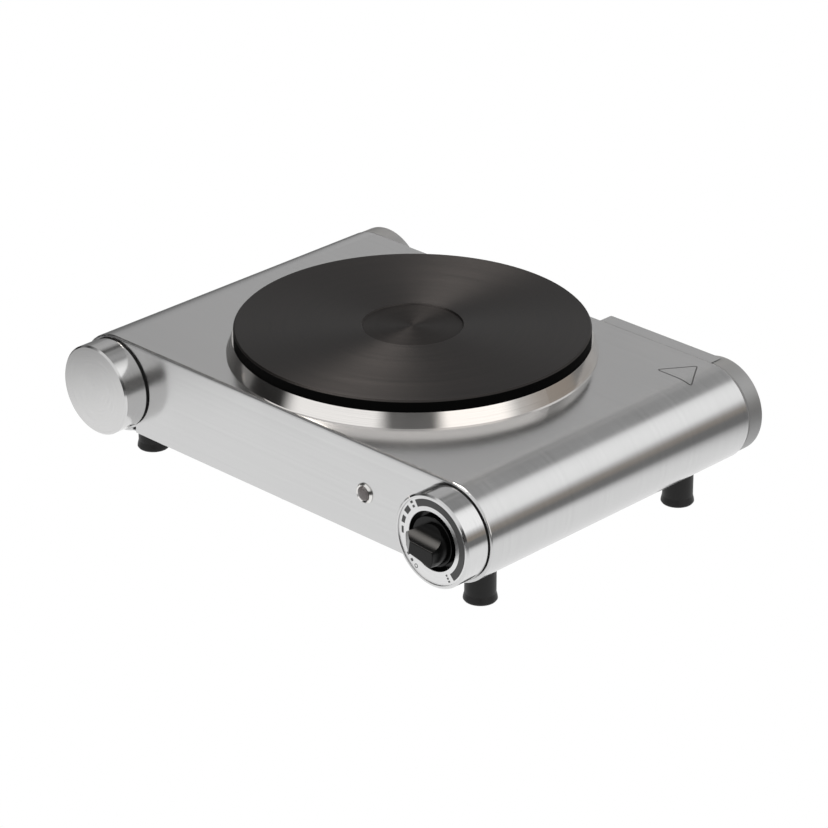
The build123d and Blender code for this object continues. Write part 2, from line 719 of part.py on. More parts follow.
def thermostat_body():
    """A moulded channel, open above, that holds the contacts and guides the pin."""
    y_span = (back(BODY_START), back(BODY_END))
    body = block((CAP_X - BODY_HALF, CAP_X + BODY_HALF), y_span, (CAP_Z - BODY_LOW, CAP_Z + BODY_HIGH))
    inside = (CAP_X - BODY_INSIDE_HALF, CAP_X + BODY_INSIDE_HALF)
    inside_z = (CAP_Z - BODY_INSIDE_LOW, CAP_Z + BODY_HIGH + CUT)
    body -= block(inside, (back(BODY_FLOOR), back(BODY_END + CUT)), inside_z)
    body -= rod_y(BUSH_R + CLEARANCE, (back(BODY_START - CUT), back(BUSH_END + BUSH_END_GAP)), CAP_X, CAP_Z)
    body -= rod_y(COLLAR_SPACE_R, (back(BUSH_END), back(BODY_FLOOR + CUT)), CAP_X, CAP_Z)
    guide_z = (CAP_Z - BODY_INSIDE_LOW, CAP_Z + GUIDE_HIGH)
    guide_y = [back(distance) for distance in GUIDE_SPAN]
    guide = block((CAP_X - GUIDE_HALF, CAP_X + GUIDE_HALF), guide_y, guide_z)
    return body + guide - rod_y(PIN_R + CLEARANCE, (guide_y[0] - CUT, guide_y[1] + CUT), CAP_X, CAP_Z)


def actuator_pin():
    """The ceramic pin that the turning spindle pushes against the contact arm."""
    return rod_y(PIN_R, (back(PIN_START), back(PIN_START + PIN_LENGTH)), CAP_X, CAP_Z)


def contact_arm():
    """The springy blade that carries the moving contact."""
    face = back(ARM_Y + ARM_THICK)
    blade = block((CAP_X - ARM_HALF, CAP_X + ARM_HALF), (back(ARM_Y), face), (ARM_ROOT_Z, ARM_TOP_Z))
    return blade + rod_y(CONTACT_R, (face, back(ARM_Y + CONTACT_REACH)), CAP_X, CONTACT_Z)


def fixed_contact():
    """The stiff blade with the fixed contact, which the arm's contact meets."""
    face = back(FIXED_CONTACT_Y + CONTACT_THICK)
    z_span = (CAP_Z - FIXED_LOW, CAP_Z + FIXED_HIGH)
    blade = block((CAP_X - FIXED_HALF, CAP_X + FIXED_HALF), (face, face + BLADE_THICK), z_span)
    return blade + rod_y(CONTACT_R, (back(FIXED_CONTACT_Y), face), CAP_X, CONTACT_Z)


def bimetal_strip():
    """The strip that bends with heat, along one inner side of the thermostat, held at its far end."""
    side, face = CAP_X - BODY_INSIDE_HALF, CAP_X - BIMETAL_FACE
    start, end = [back(distance) for distance in BIMETAL_SPAN]
    strip = block((face, face + BIMETAL_THICK), (start, end), (CAP_Z - BIMETAL_LOW, CAP_Z + BIMETAL_HIGH))
    root_z = (CAP_Z - BIMETAL_ROOT_LOW, CAP_Z + BIMETAL_ROOT_HIGH)
    return strip + block((side, face), (back(BIMETAL_ROOT), end), root_z)


def thermostat_terminals():
    """Two push-on blades under the thermostat."""
    blades = []
    start = back(THERMO_BLADE_Y)
    for x in (CAP_X - THERMO_BLADE_X, CAP_X + THERMO_BLADE_X):
        z_span = (CAP_Z - THERMO_BLADE_TIP, CAP_Z - BODY_LOW)
        blades.append(block((x - BLADE_HALF, x + BLADE_HALF), (start, start + BLADE_THICK), z_span))
    return Compound(blades)


# ---------------------------------------------------------------- hotplate
def hotplate_casting():
    """The cast-iron plate: recessed centre, thick rim, skirt, and ribs that form the coil channels."""
    recess_z = PLATE_TOP_Z - RECESS_DEPTH
    outline = [(0, recess_z), (RECESS_R - RECESS_SLOPE, recess_z), (RECESS_R, PLATE_TOP_Z),
               (PLATE_R - PLATE_EDGE, PLATE_TOP_Z), (PLATE_R, PLATE_TOP_Z - PLATE_EDGE),
               (PLATE_R, PLATE_SIDE_Z), (PLATE_SKIRT_R, PLATE_SIDE_Z),
               (PLATE_SKIRT_R, PLATE_SKIRT_Z), (PLATE_SKIRT_R - PLATE_SKIRT_WALL, PLATE_SKIRT_Z),
               (PLATE_SKIRT_R - PLATE_SKIRT_WALL, PLATE_WEB_Z)]
    for radius in reversed(RIB_RADII):
        outline += [(radius + RIB_HALF, PLATE_WEB_Z), (radius + RIB_HALF, CEMENT_Z),
                    (radius - RIB_HALF, CEMENT_Z), (radius - RIB_HALF, PLATE_WEB_Z)]
    boss_z = COVER_DISC_Z + SHEET
    outline += [(STUD_BOSS_R, PLATE_WEB_Z), (STUD_BOSS_R, boss_z), (0, boss_z)]
    plate = turned_z(outline, 0, PLATE_Y)
    return plate - rod_z(STUD_R, (PLATE_SKIRT_Z, STUD_TOP_Z), 0, PLATE_Y)


def heating_coil(ring_radius):
    """One resistance coil, as the tube that it winds, left open by a short gap."""
    circle = Pos(ring_radius, 0, COIL_Z) * Rot(90, 0, 0) * Circle(COIL_WIRE_R)
    ring = revolve(circle, Axis.Z, revolution_arc=COIL_SWEEP)
    return Pos(0, PLATE_Y, 0) * Rot(0, 0, COIL_START) * ring


def coil_cement(ring_radius, inner_r, outer_r):
    """The pressed magnesia that fills a channel round its coil."""
    span = (CEMENT_Z, PLATE_WEB_Z)
    ring = rod_z(outer_r, span, 0, PLATE_Y) - rod_z(inner_r, span, 0, PLATE_Y)
    return ring - heating_coil(ring_radius)


def plate_bottom_cover():
    """The thin steel disc that closes the plate from below, with a pressed ring for stiffness."""
    outer = PLATE_SKIRT_R - PLATE_SKIRT_WALL - DISC_GAP
    low, high = COVER_DISC_Z, COVER_DISC_Z + SHEET
    inner = STUD_R + STUD_GAP
    start, end = DISC_RING
    shift = SHEET / 2
    slope, rise = DISC_RING_SLOPE, DISC_RING_RISE
    outline = [(inner, low), (start, low), (start + slope, low + rise), (end - slope, low + rise),
               (end, low), (outer, low), (outer, high), (end - shift, high),
               (end - slope - shift, high + rise), (start + slope + shift, high + rise),
               (start + shift, high), (inner, high)]
    return turned_z(outline, 0, PLATE_Y)


def plate_stud():
    """The threaded stud that hangs from the middle of the plate."""
    stud = rod_z(STUD_R, (STRAP_Z - STUD_TAIL, STUD_TOP_Z), 0, PLATE_Y)
    return chamfer(stud.edges().group_by(Axis.Z)[0], STUD_CHAMFER)


def spacer_sleeve():
    """The tube that keeps the heat shield and the plate's lower disc apart."""
    span = (STRAP_Z + STRAP_THICK + SHIELD_THICK, COVER_DISC_Z)
    return rod_z(SLEEVE_R, span, 0, PLATE_Y) - rod_z(STUD_R + STUD_GAP, span, 0, PLATE_Y)


def heat_shield():
    """The bright disc under the plate that keeps heat off the base."""
    low = STRAP_Z + STRAP_THICK
    high = low + SHIELD_THICK
    through = (low - CUT, high + CUT)
    shield = rod_z(SHIELD_R, (low, high), 0, PLATE_Y)
    shield -= rod_z(STUD_R + 2 * STUD_GAP, through, 0, PLATE_Y)
    return shield - block(TERMINAL_WINDOW_X, (PLATE_Y - WINDOW_HALF, PLATE_Y + WINDOW_HALF), through)


def clamp_strap():
    """The strap across the body that the stud pulls up against the underside of the deck."""
    under_deck = DECK_Z - SHEET
    thick, slope = STRAP_THICK, STRAP_SLOPE
    step_x, foot_x = STRAP_STEP_X, STRAP_FOOT_X
    top = [(-foot_x, under_deck), (-step_x, under_deck), (-step_x + slope, STRAP_Z + thick),
           (step_x - slope, STRAP_Z + thick), (step_x, under_deck), (foot_x, under_deck)]
    bottom = [(foot_x, under_deck - thick), (step_x + thick, under_deck - thick),
              (step_x + thick - slope, STRAP_Z), (-step_x - thick + slope, STRAP_Z),
              (-step_x - thick, under_deck - thick), (-foot_x, under_deck - thick)]
    outline = make_face(Polyline(*(top + bottom), close=True))
    strap = along_y(outline, (PLATE_Y - STRAP_WIDTH / 2, PLATE_Y + STRAP_WIDTH / 2))
    through = (STRAP_Z - CUT, STRAP_Z + thick + CUT)
    strap -= rod_z(STUD_R + 2 * STUD_GAP, through, 0, PLATE_Y)
    window_x = (TERMINAL_BLOCK_X[0] - WINDOW_GAP, TERMINAL_BLOCK_X[1] + WINDOW_GAP)
    half = TERMINAL_BLOCK_HALF + WINDOW_GAP
    return strap - block(window_x, (PLATE_Y - half, PLATE_Y + half), through)


def clamp_washer():
    """The washer between the strap and its nut."""
    span = (STRAP_Z - WASHER_THICK, STRAP_Z)
    return rod_z(WASHER_R, span, 0, PLATE_Y) - rod_z(STUD_R + STUD_GAP, span, 0, PLATE_Y)


def clamp_nut():
    """The nut that pulls the plate down on its ring."""
    top = STRAP_Z - WASHER_THICK
    span = (top - NUT_HEIGHT, top)
    return hexagon_z(NUT_FLATS, span, 0, PLATE_Y) - rod_z(STUD_R, span, 0, PLATE_Y)


def plate_terminal_block():
    """The ceramic block under the plate that brings the coils' ends out."""
    half, slot = TERMINAL_BLOCK_HALF, BLADE_THICK / 2 + CLEARANCE
    ceramic = block(TERMINAL_BLOCK_X, (PLATE_Y - half, PLATE_Y + half), (TERMINAL_BLOCK_Z, COVER_DISC_Z))
    slot_half = BLADE_HALF + CLEARANCE
    for x in plate_terminal_places():
        slot_z = (TERMINAL_BLOCK_Z, TERMINAL_TOP_Z)
        ceramic -= block((x - slot_half, x + slot_half), (PLATE_Y - slot, PLATE_Y + slot), slot_z)
    return ceramic


def plate_terminal_places():
    middle = sum(TERMINAL_BLOCK_X) / 2
    return (middle - TERMINAL_PITCH, middle, middle + TERMINAL_PITCH)


def plate_terminals():
    """Three push-on blades in the ceramic block, each with its locking hole."""
    blades = []
    half = BLADE_THICK / 2
    for x in plate_terminal_places():
        z_span = (TERMINAL_TIP_Z, TERMINAL_TOP_Z)
        blade = block((x - BLADE_HALF, x + BLADE_HALF), (PLATE_Y - half, PLATE_Y + half), z_span)
        hole_span = (PLATE_Y - half - CUT, PLATE_Y + half + CUT)
        blades.append(blade - rod_y(TERMINAL_HOLE_R, hole_span, x, TERMINAL_HOLE_Z))
    return Compound(blades)


def rim_ring():
    """The polished spill ring: a foot on the deck, a flared wall and a shelf under the plate."""
    inner = DECK_HOLE_R + RIM_HOLE_GAP
    shelf, shelf_r = PLATE_SIDE_Z, PLATE_R - RIM_SHELF_INSET
    foot_top = DECK_Z + RIM_WALL
    inside_top = RIM_TOP_R - RIM_WALL
    slant = (RIM_FOOT_R - RIM_TOP_R) / (RIM_TOP_Z - DECK_Z - RIM_WALL)
    under = inside_top + slant * (RIM_TOP_Z - shelf + RIM_WALL)
    outline = [(inner, DECK_Z), (RIM_FOOT_R, DECK_Z), (RIM_FOOT_R, foot_top), (RIM_TOP_R, RIM_TOP_Z),
               (inside_top, RIM_TOP_Z), (inside_top, shelf), (shelf_r, shelf),
               (shelf_r, shelf - RIM_WALL), (under, shelf - RIM_WALL), (RIM_FOOT_R - RIM_BEND, foot_top),
               (inner, foot_top)]
    return turned_z(outline, 0, PLATE_Y)


def thermal_fuse():
    """The cut-out clipped under the heat shield, with a short lead at each end."""
    top = STRAP_Z + STRAP_THICK
    middle_x, middle_y = FUSE_PLACE
    half_x, half_y = FUSE_HALF
    body = block((middle_x - half_x, middle_x + half_x), (middle_y - half_y, middle_y + half_y),
                 (top - FUSE_HEIGHT, top))
    lead = Cylinder(FUSE_LEAD_R, FUSE_LEAD_LENGTH)
    return body + Pos(middle_x, middle_y, top - FUSE_HEIGHT / 2) * Rot(0, 90, 0) * lead


# ---------------------------------------------------------------- indicator lamp
def lamp_bezel():
    """The bright collar round the lens, rounded on its outer edge."""
    inner = LENS_R + LENS_GAP
    outline = [(inner, back(0))]
    outline += [(BEZEL_R - inset, back(-reach)) for inset, reach in BEZEL_PROFILE]
    outline += [(LENS_R + BEZEL_CREST[0], back(-BEZEL_CREST[1])), (inner, back(-BEZEL_INNER))]
    return turned_y(outline, LAMP_X, LAMP_Z)


def lamp_lens():
    """A clear, slightly domed cap on a short barrel."""
    outline = [(radius, back(-reach)) for radius, reach in LENS_DOME]
    outline += [(LENS_R, back(-LENS_SHOULDER)), (LENS_R, back(0)), (0, back(0))]
    return turned_y(outline, LAMP_X, LAMP_Z)


def lamp_body():
    """The lamp's tube behind the panel, with a terminal tab above and below."""
    body = rod_y(LAMP_BODY_R, (back(0), back(LAMP_DEPTH)), LAMP_X, LAMP_Z)
    half_x, half_z = LAMP_TAB_HALF
    for z in (LAMP_Z - LAMP_TAB_Z, LAMP_Z + LAMP_TAB_Z):
        y_span = (back(LAMP_DEPTH), back(LAMP_TAB_END))
        body += block((LAMP_X - half_x, LAMP_X + half_x), y_span, (z - half_z, z + half_z))
    return body


def lamp_clip():
    """The pressed ring that holds the lamp from behind."""
    span = (back(SHEET), back(SHEET + LAMP_CLIP_THICK))
    return rod_y(LAMP_CLIP_R, span, LAMP_X, LAMP_Z) - rod_y(LAMP_BODY_R, span, LAMP_X, LAMP_Z)


# ---------------------------------------------------------------- rear cover and mains entry
def cover_outline(inset):
    """The cover, seen from behind: a box that is hollowed to fit round the rear cap."""
    left, right = COVER_LEFT + inset, BARREL_X - inset
    low, high = COVER_BOTTOM + inset, DECK_Z - inset
    box = Pos((left + right) / 2, (low + high) / 2) * Rectangle(right - left, high - low)
    box = fillet(box.vertices().group_by(Axis.X)[0], COVER_ROUND - inset)
    return box - Pos(CAP_X, CAP_Z) * Circle(REAR_CAP_R + COVER_HOLLOW_GAP + inset)


def cover_block(inset):
    """The cover's solid, with its free upright corner rounded as seen from above."""
    depth = COVER_DEPTH - inset
    solid = along_y(cover_outline(inset), (REAR_Y, REAR_Y + depth))
    width = BARREL_X - COVER_LEFT - 2 * inset
    plan = Pos(BARREL_X - inset - width / 2, REAR_Y) * Rectangle(width, 2 * depth)
    corner = plan.vertices().sort_by(Axis.Y)[-2:].sort_by(Axis.X)[0]
    return solid & extrude(fillet(corner, COVER_CORNER_ROUND - inset), amount=2 * DECK_Z)


def rear_cover():
    """The drawn box over the mains entry, flush with the deck."""
    cover = cover_block(0) - cover_block(SHEET)
    through = (REAR_Y, REAR_Y + COVER_DEPTH + CUT)
    cover -= rod_y(GROMMET_NECK_R, through, GROMMET_X, GROMMET_Z)
    for x, z in cover_screw_places():
        cover += rod_y(COVER_POST_R, (REAR_Y, REAR_Y + COVER_DEPTH - SHEET), x, z)
        cover -= rod_y(COVER_SCREW_R, through, x, z)
    return cover


def cover_screw_places():
    x, low = COVER_LEFT + COVER_POST_X, COVER_BOTTOM + COVER_POST_LOW
    return ((x, DECK_Z - COVER_POST_HIGH), (x, low), (COVER_POST_RIGHT, low))


def cover_screws():
    """Three screws through the cover's posts into the rear panel."""
    screws = []
    head_y, tip_y = REAR_Y + COVER_DEPTH, REAR_Y - COVER_SCREW_TAIL
    for x, z in cover_screw_places():
        screws.append(screw_y(x, z, head_y, tip_y, COVER_SCREW_R, COVER_HEAD_R, COVER_HEAD_THICK))
    return Compound(screws)


def cord_grommet():
    """The rubber bush in the cover that the mains cord enters through."""
    outside = REAR_Y + COVER_DEPTH
    inside = outside - SHEET
    low, high = inside - GROMMET_INSIDE, outside + GROMMET_OUTSIDE
    grommet = rod_y(GROMMET_NECK_R, (low, high), GROMMET_X, GROMMET_Z)
    for span in ((outside, high), (low, inside)):
        grommet += rod_y(GROMMET_FLANGE_R, span, GROMMET_X, GROMMET_Z)
    grommet = chamfer(grommet.edges().group_by(Axis.Y)[-1], GROMMET_CHAMFER)
    return grommet - rod_y(GROMMET_BORE_R, (low - CUT, high + CUT), GROMMET_X, GROMMET_Z)


def mains_pole_places():
    pitch = (MAINS_BLOCK_X[1] - MAINS_BLOCK_X[0]) / MAINS_POLES
    return [MAINS_BLOCK_X[0] + pitch * (index + 0.5) for index in range(MAINS_POLES)]


def block_screw_places():
    y = sum(back(distance) for distance in MAINS_BLOCK_BACK) / 2
    pitch = (MAINS_BLOCK_X[1] - MAINS_BLOCK_X[0]) / MAINS_POLES
    return [(MAINS_BLOCK_X[0] + pitch * index, y) for index in (1, 2)]


def mains_terminal_block():
    """The three-pole block on the base where the mains leads join the wiring."""
    y_span = [back(distance) for distance in MAINS_BLOCK_BACK]
    low, high = MAINS_BLOCK_Z
    solid = block(MAINS_BLOCK_X, y_span, MAINS_BLOCK_Z)
    for x in mains_pole_places():
        solid -= rod_y(MAINS_BORE_R, (y_span[0] - CUT, y_span[1] + CUT), x, MAINS_BORE_Z)
        for y in pole_screw_rows():
            solid -= rod_z(POLE_SCREW_R, (MAINS_BORE_Z, high + CUT), x, y)
    for x, y in block_screw_places():
        solid -= rod_z(BLOCK_SCREW_R, (low - CUT, high + CUT), x, y)
    return solid


def pole_screw_rows():
    middle = sum(back(distance) for distance in MAINS_BLOCK_BACK) / 2
    return (middle - POLE_SCREW_Y, middle + POLE_SCREW_Y)


def mains_block_screws():
    """Two clamping screws to each pole, and two that hold the block to the base."""
    low, high = MAINS_BLOCK_Z
    screws = []
    for x in mains_pole_places():
        for y in pole_screw_rows():
            screws.append(rod_z(POLE_SCREW_R, (low + POLE_SCREW_LOW, high - POLE_SCREW_SUNK), x, y))
    for x, y in block_screw_places():
        shank = rod_z(BLOCK_SCREW_R, (BASE_Z, high), x, y)
        screws.append(shank + rod_z(BLOCK_HEAD_R, (high, high + BLOCK_HEAD_THICK), x, y))
    return Compound(screws)


# ---------------------------------------------------------------- wiring
def wires():
    """Insulated leads, each from the block to what it feeds."""
    left_pole, middle_pole, right_pole = mains_pole_places()
    block_y = back(MAINS_BLOCK_BACK[0])
    tab_y = back(THERMO_BLADE_Y + BLADE_THICK / 2)
    tab_z = CAP_Z - THERMO_BLADE_TIP - WIRE_R - WIRE_GAP
    live_x, switched_x = CAP_X + THERMO_BLADE_X, CAP_X - THERMO_BLADE_X
    neutral_blade, lamp_blade, live_blade = plate_terminal_places()
    blade_z = TERMINAL_TIP_Z - WIRE_R - WIRE_GAP
    lamp_y = back(LAMP_TAB_END)
    run_y = back(RUN_FRONT)
    lead_y = block_y - LEAD_OUT
    live = [(right_pole, block_y, MAINS_BORE_Z), (right_pole, lead_y, MAINS_BORE_Z),
            (LIVE_RUN_X, lead_y - LIVE_SWEEP, WIRE_LOW_Z), (LIVE_RUN_X, run_y, WIRE_LOW_Z),
            (live_x, tab_y + LIVE_DROP, tab_z + WIRE_RISE), (live_x, tab_y, tab_z)]
    switched = [(switched_x, tab_y, tab_z),
                (switched_x - WIRE_RISE, tab_y + SWITCHED_DROP, tab_z + LAMP_TAB_Z),
                (SWITCHED_RUN_X, run_y, SWITCHED_Z), (live_blade, PLATE_Y - SWITCHED_END, SWITCHED_END_Z),
                (live_blade, PLATE_Y, blade_z)]
    neutral = [(middle_pole, block_y, MAINS_BORE_Z), (middle_pole, lead_y, MAINS_BORE_Z),
               (middle_pole, PLATE_Y + NEUTRAL_TURN, WIRE_LOW_Z),
               (neutral_blade, PLATE_Y + NEUTRAL_END, NEUTRAL_END_Z), (neutral_blade, PLATE_Y, blade_z)]
    lamp_top, lamp_low = LAMP_Z + LAMP_TAB_Z, LAMP_Z - LAMP_TAB_Z
    lamp_live = [(LAMP_X, lamp_y, lamp_top), (LAMP_X, run_y, lamp_top),
                 (lamp_blade + LAMP_LIVE_SHIFT, PLATE_Y - LAMP_LIVE_TURN, LAMP_LIVE_Z),
                 (lamp_blade, PLATE_Y - LAMP_LIVE_END, LAMP_LIVE_END_Z), (lamp_blade, PLATE_Y, blade_z)]
    lamp_neutral = [(LAMP_X, lamp_y, lamp_low), (LAMP_X, run_y + LAMP_TAB_Z, lamp_low - WIRE_RISE),
                    (LAMP_RUN_X, run_y + LAMP_SWEEP, LAMP_RUN_Z),
                    (left_pole - LAMP_TAB_Z, block_y - LAMP_LEAD_OUT, MAINS_BORE_Z + WIRE_RISE),
                    (left_pole, block_y, MAINS_BORE_Z)]
    return {
        "wire_live": tube(live, WIRE_R, WIRE_BEND),
        "wire_switched": tube(switched, WIRE_R, WIRE_BEND),
        "wire_neutral": tube(neutral, WIRE_R, WIRE_BEND),
        "wire_lamp_live": tube(lamp_live, WIRE_R, LAMP_WIRE_BEND),
        "wire_lamp_neutral": tube(lamp_neutral, WIRE_R, LAMP_WIRE_BEND),
    }


def earth_tag():
    """The ring terminal that bonds the sheet-steel body, bolted to the rear panel's flange."""
    x, y = EARTH_PLACE
    z = BASE_Z + 2 * SHEET
    top = z + EARTH_TAG_THICK
    tag = rod_z(EARTH_TAG_R, (z, top), x, y)
    tag += block((x - EARTH_TAG_HALF, x + EARTH_TAG_HALF), (y - EARTH_TAG_LENGTH, y), (z, top))
    return tag - rod_z(EARTH_HOLE_R, (z - CUT, top + CUT), x, y)


def earth_screw():
    """The nut that clamps the earth tag."""
    x, y = EARTH_PLACE
    z = BASE_Z + 2 * SHEET + EARTH_TAG_THICK
    return hexagon_z(EARTH_FLATS, (z, z + EARTH_HEIGHT), x, y)


# ---------------------------------------------------------------- feet
def foot_places():
    places = {}
    for name, side in (("left", -1), ("right", 1)):
        places["front_" + name] = (side * FOOT_X, back(FOOT_FRONT))
        places["rear_" + name] = (side * FOOT_X, back(FOOT_REAR))
    x, y = places["front_left"]
    dx, dy = FRONT_LEFT_FOOT_SHIFT
    places["front_left"] = (x + dx, y + dy)
    return places


def foot(x, y):
    """A moulded foot, flared at both ends, whose top is hollowed to sit on the barrel."""
    top = AXIS_Z - BARREL_R + FOOT_OVERLAP
    outline = list(FOOT_FLOOR)
    outline += [(FOOT_FLARE_R - inset, height) for inset, height in FOOT_LIP]
    outline += [(FOOT_R, FOOT_NECK), (FOOT_R, top - FOOT_NECK), (FOOT_R + FOOT_TOP_FLARE, top),
                (FOOT_BORE_R, top)]
    solid = turned_z(outline, x, y)
    barrel_x = math.copysign(BARREL_X, x)
    return solid - rod_y(BARREL_R, (y - 2 * FOOT_R, y + 2 * FOOT_R), barrel_x, AXIS_Z)


def foot_screws():
    """One screw up through each foot, with a nut inside the barrel."""
    screws = []
    for x, y in foot_places().values():
        inside = AXIS_Z - BARREL_R + SHEET + FOOT_NUT_GAP
        low, high = FOOT_HEAD
        shank = rod_z(FOOT_SCREW_R, (FOOT_SCREW_STEP, inside + FOOT_SCREW_TAIL), x, y)
        head = rod_z(FOOT_HEAD_R, (low, high), x, y) + rod_z(FOOT_SCREW_R, (high, FOOT_SCREW_STEP), x, y)
        slot_y = (y - FOOT_SLOT_HALF, y + FOOT_SLOT_HALF)
        head -= block((x - FOOT_HEAD_R - CUT, x + FOOT_HEAD_R + CUT), slot_y, (low - CUT, FOOT_SLOT_TOP))
        nut = hexagon_z(FOOT_NUT_FLATS, (inside + FOOT_NUT[0], inside + FOOT_NUT[1]), x, y)
        screws.append(shank + head + nut)
    return Compound(screws)


# ---------------------------------------------------------------- write every node
def write(name, shape):
    export_step(shape, "parts/" + name + ".step")


def cement_rings():
    inner_rib, outer_rib = RIB_RADII
    skirt = PLATE_SKIRT_R - PLATE_SKIRT_WALL
    return {
        "coil_cement_inner": coil_cement(COIL_RADII[0], inner_rib + RIB_HALF, outer_rib - RIB_HALF),
        "coil_cement_outer": coil_cement(COIL_RADII[1], outer_rib + RIB_HALF, skirt),
    }


nodes = {
    "housing_shell": housing_shell(),
    "front_panel": front_panel(),
    "rear_panel": rear_panel(),
    "base_plate": base_plate(),
    "base_screws": base_screws(),
    "end_cap_front_left": plain_cap(-1, FRONT_Y, -CAP_FACE),
    "end_cap_rear_left": plain_cap(-1, REAR_Y, REAR_REACH),
    "end_cap_rear_right": plain_cap(1, REAR_Y, REAR_REACH),
    "control_cap": control_cap(),
    "cap_screws": cap_screws(),
    "dial_plate": dial_plate(),
    "knob_well": knob_well(),
    "knob": knob(),
    "knob_clip": knob_clip(),
    "spindle": spindle(),
    "thermostat_bracket": thermostat_bracket(),
    "thermostat_bush": thermostat_bush(),
    "thermostat_body": thermostat_body(),
    "thermostat_terminals": thermostat_terminals(),
    "bimetal_strip": bimetal_strip(),
    "actuator_pin": actuator_pin(),
    "contact_arm": contact_arm(),
    "fixed_contact": fixed_contact(),
    "hotplate_casting": hotplate_casting(),
    "heating_coil_inner": heating_coil(COIL_RADII[0]),
    "heating_coil_outer": heating_coil(COIL_RADII[1]),
    "plate_bottom_cover": plate_bottom_cover(),
    "plate_stud": plate_stud(),
    "spacer_sleeve": spacer_sleeve(),
    "heat_shield": heat_shield(),
    "clamp_strap": clamp_strap(),
    "clamp_washer": clamp_washer(),
    "clamp_nut": clamp_nut(),
    "plate_terminal_block": plate_terminal_block(),
    "plate_terminals": plate_terminals(),
    "rim_ring": rim_ring(),
    "thermal_fuse": thermal_fuse(),
    "lamp_bezel": lamp_bezel(),
    "lamp_lens": lamp_lens(),
    "lamp_body": lamp_body(),
    "lamp_clip": lamp_clip(),
    "rear_cover": rear_cover(),
    "cover_screws": cover_screws(),
    "cord_grommet": cord_grommet(),
    "mains_terminal_block": mains_terminal_block(),
    "mains_block_screws": mains_block_screws(),
    "earth_tag": earth_tag(),
    "earth_screw": earth_screw(),
    "foot_screws": foot_screws(),
}
for place, (foot_x, foot_y) in foot_places().items():
    nodes["foot_" + place] = foot(foot_x, foot_y)
for end_name, end_y, way in (("front", FRONT_Y, -1), ("rear", REAR_Y, 1)):
    for side_name, side in (("left", -1), ("right", 1)):
        nodes["cap_seal_" + end_name + "_" + side_name] = cap_seal(side, end_y, way)
nodes.update(cement_rings())
nodes["wiring"] = Compound(list(wires().values()))

for node_name, node_shape in nodes.items():
    write(node_name, node_shape)
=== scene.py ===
import json
import math

import bmesh
import bpy
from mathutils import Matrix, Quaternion, Vector


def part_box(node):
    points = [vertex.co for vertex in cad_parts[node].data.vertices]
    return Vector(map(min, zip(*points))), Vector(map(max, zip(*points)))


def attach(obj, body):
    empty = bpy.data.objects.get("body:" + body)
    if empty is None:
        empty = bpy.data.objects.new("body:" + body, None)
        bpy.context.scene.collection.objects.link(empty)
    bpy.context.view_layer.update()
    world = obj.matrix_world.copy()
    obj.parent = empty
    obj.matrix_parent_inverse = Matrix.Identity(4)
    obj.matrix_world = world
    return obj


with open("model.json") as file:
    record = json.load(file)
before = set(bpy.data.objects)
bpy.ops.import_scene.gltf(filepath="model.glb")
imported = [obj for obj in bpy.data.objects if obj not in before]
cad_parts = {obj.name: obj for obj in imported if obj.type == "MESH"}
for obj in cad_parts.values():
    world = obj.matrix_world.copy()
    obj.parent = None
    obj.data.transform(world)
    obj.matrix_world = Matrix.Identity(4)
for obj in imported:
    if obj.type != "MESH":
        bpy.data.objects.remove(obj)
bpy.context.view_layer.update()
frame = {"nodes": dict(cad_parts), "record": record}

MM = 0.001
scene = bpy.context.scene
bodies = frame["record"]["behaviour"]["bodies"]
root_body = [body for body, members in bodies.items() if "housing_shell" in members][0]

# ---------------------------------------------------------------- places read from the frame
shell_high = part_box("housing_shell")[1]
dial_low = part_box("dial_plate")[0]
plate_low, plate_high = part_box("hotplate_casting")
cap_low, cap_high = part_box("control_cap")

BARREL_R = 26.6 * MM            # outer radius of the rolled sides
DECK_Z = shell_high.z
BARREL_X = shell_high.x - BARREL_R
AXIS_Z = DECK_Z - BARREL_R
REAR_Y = shell_high.y
PLATE_X = (plate_low.x + plate_high.x) / 2
PLATE_Y = (plate_low.y + plate_high.y) / 2
PLATE_TOP_Z = plate_high.z
DIAL_FACE_Y = dial_low.y
CAP_X = (cap_low.x + cap_high.x) / 2
CAP_Z = (cap_low.z + cap_high.z) / 2

# ---------------------------------------------------------------- node helpers
NOISE_SPAN = (0.3, 0.7)         # a noise's values mostly lie in here
PATCH_SPAN = (0.35, 0.65)       # the same for a broad, soft noise
ABOUT_Y, ABOUT_Z = 1, 2         # which axis a turned piece was turned about


